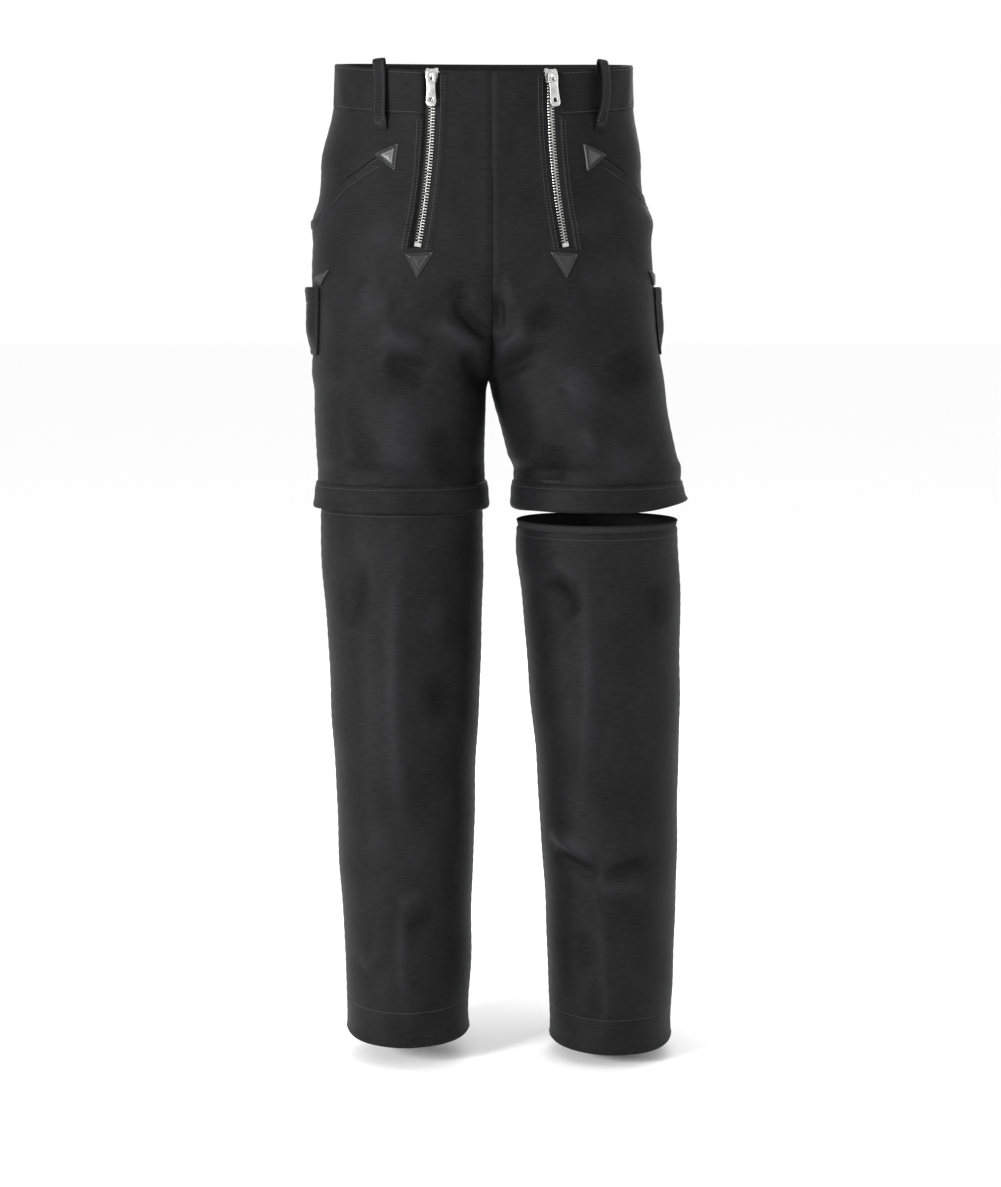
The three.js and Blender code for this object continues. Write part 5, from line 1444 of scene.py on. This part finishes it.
class TROUSERS_OT_stitching(TrouserPiece, bpy.types.Operator):
    """Rows of stitches on the panels, waistband, pockets, flaps and hems"""
    bl_idname = "trousers.stitching"
    bl_label = "Stitching"

    def execute(self, context):
        sizes, finish = self.settings(context)
        for name, side in SIDES.items():
            zip_line = ZIPS[name]
            z = np.linspace(RIM_FRONT - 4, SLIT_END_Z[side] - 3, 200)
            runs = [line_on("upper", side, zip_line.edge(across, z), z, 0.9 if across > 0 else 0.3)
                    for across in (-14.0, -9.8)]
            low = z[z < RIM_FRONT - WAISTBAND_HEIGHT - 2]
            runs += [line_on("upper", side, zip_line.edge(across, low), low, 0.3) for across in (9.8, 14.0)]
            x = np.linspace(116, 177, 60)
            for below in (2.6, 10.5):
                height = np.interp(x, MOUTH[:, 0], MOUTH[:, 1]) - below
                runs.append(line_on("upper", side, around_at("upper", side, -1, x, height), height, 0.5))
            start = float(zip_line.edge(SLIT_HALF + 3, np.array(-60.0)))
            around = np.linspace(start, math.pi / 2 - 0.01, 400)
            for height, stand in ((WAISTBAND_HEIGHT - 2.2, 0.75), (3.0, 0.9)):
                z_band = rim_at(around) - height
                runs.append((skin("upper", side, around, z_band, stand),
                             cloth_normal("upper", side, around, z_band, 0.0)))
            centre = np.linspace(-64, -290, 200)
            runs.append(line_on("upper", side, around_at("upper", side, 1, np.full(200, 5.0), centre), centre, 0.2))
            sew(f"panel_stitching_{name}", "garment", runs, sizes, finish["thread"])
            turn = np.linspace(0, 2 * math.pi, 300)
            middle = np.array([side * STANCE[side], 0, 0])
            out = np.stack([side * np.cos(turn), np.sin(turn), np.zeros_like(turn)], -1)
            flap = [(middle + out * (RING_RADIUS + r) + np.array([0, 0, UPPER_BOTTOM + 6 - down]), out)
                    for down, r in ((4.0, 6.3),)]
            sew(f"flap_stitching_{name}", "garment", flap, sizes, finish["thread"])
            top, foot = LOWER_TOP - DROP[side], LOWER_TOP - DROP[side] - LEG_LENGTH[side]
            leg = []
            for face in (-1, 1):
                around = face * np.linspace(0.02, math.pi - 0.02, 200)
                leg += [line_on("lower", side, around, top - 7.0, -0.3, 0.15),
                        line_on("lower", side, around, foot + HEM_BAND_HEIGHT, -0.2)]
            sew(f"leg_stitching_{name}", f"lower_leg_{name}", leg, sizes, finish["thread"])
        return {"FINISHED"}


class TROUSERS_OT_stage(TrouserPiece, bpy.types.Operator):
    """Camera, pale floor and soft studio light"""
    bl_idname = "trousers.stage"
    bl_label = "Stage"

    def execute(self, context):
        scene = context.scene
        camera = bpy.data.objects.new("camera", bpy.data.cameras.new("camera"))
        context.collection.objects.link(camera)
        place, aim = np.array([-0.0855, -2.6, -0.245]), np.array([0.01325, 0.0, -0.570])
        look = aim - place
        camera.location = place
        camera.rotation_euler = (math.acos(-look[2] / np.linalg.norm(look)), 0, math.atan2(-look[0], look[1]))
        camera.data.lens, camera.data.sensor_width = 72.36, 36.0
        camera.data.clip_start = 0.05
        scene.camera = camera
        floor_z = CAD_BOX[0][2] - 0.001
        turn = np.linspace(0, 2 * math.pi, 96, endpoint=False)
        reach = 1000 * np.array([0.001, 2, 6, 15, 40])
        grid = np.stack([np.outer(reach, np.cos(turn)), np.outer(reach, np.sin(turn)),
                         np.full((5, 96), floor_z / MM)], -1)
        material, tree, shader = new_material("studio_floor")
        place_node = node(tree, "ShaderNodeTexCoord").outputs["Object"]
        # paper sweep with a faint tooth, a few millimetres across
        tooth = node(tree, "ShaderNodeTexNoise", {"Vector": place_node, "Scale": 90, "Detail": 4})
        pale = tuple(scene.trouser_colours.floor) + (1,)
        shade = tuple(c * 0.985 for c in pale[:3]) + (1,)
        tree.links.new(ramp(tree, tooth.outputs["Fac"], 0.3, 0.7, shade, pale), shader.inputs["Base Color"])
        shader.inputs["Roughness"].default_value = 0.9
        below = grid - np.array([0, 0, 20.0])
        floor = shell("studio_floor", grid, below, [material], wrap=True)
        world = bpy.data.worlds.new("studio")
        scene.world = world
        world.use_nodes = True
        world.node_tree.nodes["Background"].inputs["Color"].default_value = (1, 1, 1, 1)
        world.node_tree.nodes["Background"].inputs["Strength"].default_value = 1.0
        for label, spot, target, size, power in (
                ("key", (-2.1, -1.9, 0.0), (0, 0, -0.75), 0.6, 105), ("fill", (2.6, -1.6, 0.2), (0, 0, -0.6), 1.2, 22),
                ("back", (0.6, 2.6, 0.9), (0, 0, -0.4), 1.6, 30)):
            lamp = bpy.data.lights.new(label, "AREA")
            lamp.energy, lamp.size = power, size
            light = bpy.data.objects.new(label, lamp)
            light.location = spot
            away = np.array(target) - np.array(spot)
            light.rotation_euler = (math.acos(-away[2] / np.linalg.norm(away)), 0, math.atan2(-away[0], away[1]))
            context.collection.objects.link(light)
        scene.view_settings.view_transform = "Standard"
        return {"FINISHED"}


STEPS = (TROUSERS_OT_stage, TROUSERS_OT_upper, TROUSERS_OT_waistband, TROUSERS_OT_lower_legs,
         TROUSERS_OT_pockets, TROUSERS_OT_leather, TROUSERS_OT_belt_loops, TROUSERS_OT_front_zips,
         TROUSERS_OT_leg_zips, TROUSERS_OT_stitching)


class TROUSERS_PT_panel(bpy.types.Panel):
    """Lists the settings and the makers of the trousers' pieces"""
    bl_label = "Trousers"
    bl_idname = "TROUSERS_PT_panel"
    bl_space_type = "VIEW_3D"
    bl_region_type = "UI"
    bl_category = "Trousers"

    def draw(self, context):
        for settings in (context.scene.trouser_sizes, context.scene.trouser_colours):
            box = self.layout.box()
            for key in settings.__annotations__:
                box.prop(settings, key)
        for step in STEPS:
            self.layout.operator(step.bl_idname)


CLASSES = (TrouserSizes, TrouserColours, *STEPS, TROUSERS_PT_panel)


def register():
    """Adds the classes and the scene's settings."""
    for item in CLASSES:
        bpy.utils.register_class(item)
    bpy.types.Scene.trouser_sizes = bpy.props.PointerProperty(type=TrouserSizes)
    bpy.types.Scene.trouser_colours = bpy.props.PointerProperty(type=TrouserColours)


def unregister():
    """Takes the settings and the classes away again."""
    del bpy.types.Scene.trouser_sizes, bpy.types.Scene.trouser_colours
    for item in reversed(CLASSES):
        bpy.utils.unregister_class(item)


def main():
    """Makes every piece in order."""
    register()
    for step in STEPS:
        group, action = step.bl_idname.split(".")
        getattr(getattr(bpy.ops, group), action)()


if __name__ == "__main__":
    main()
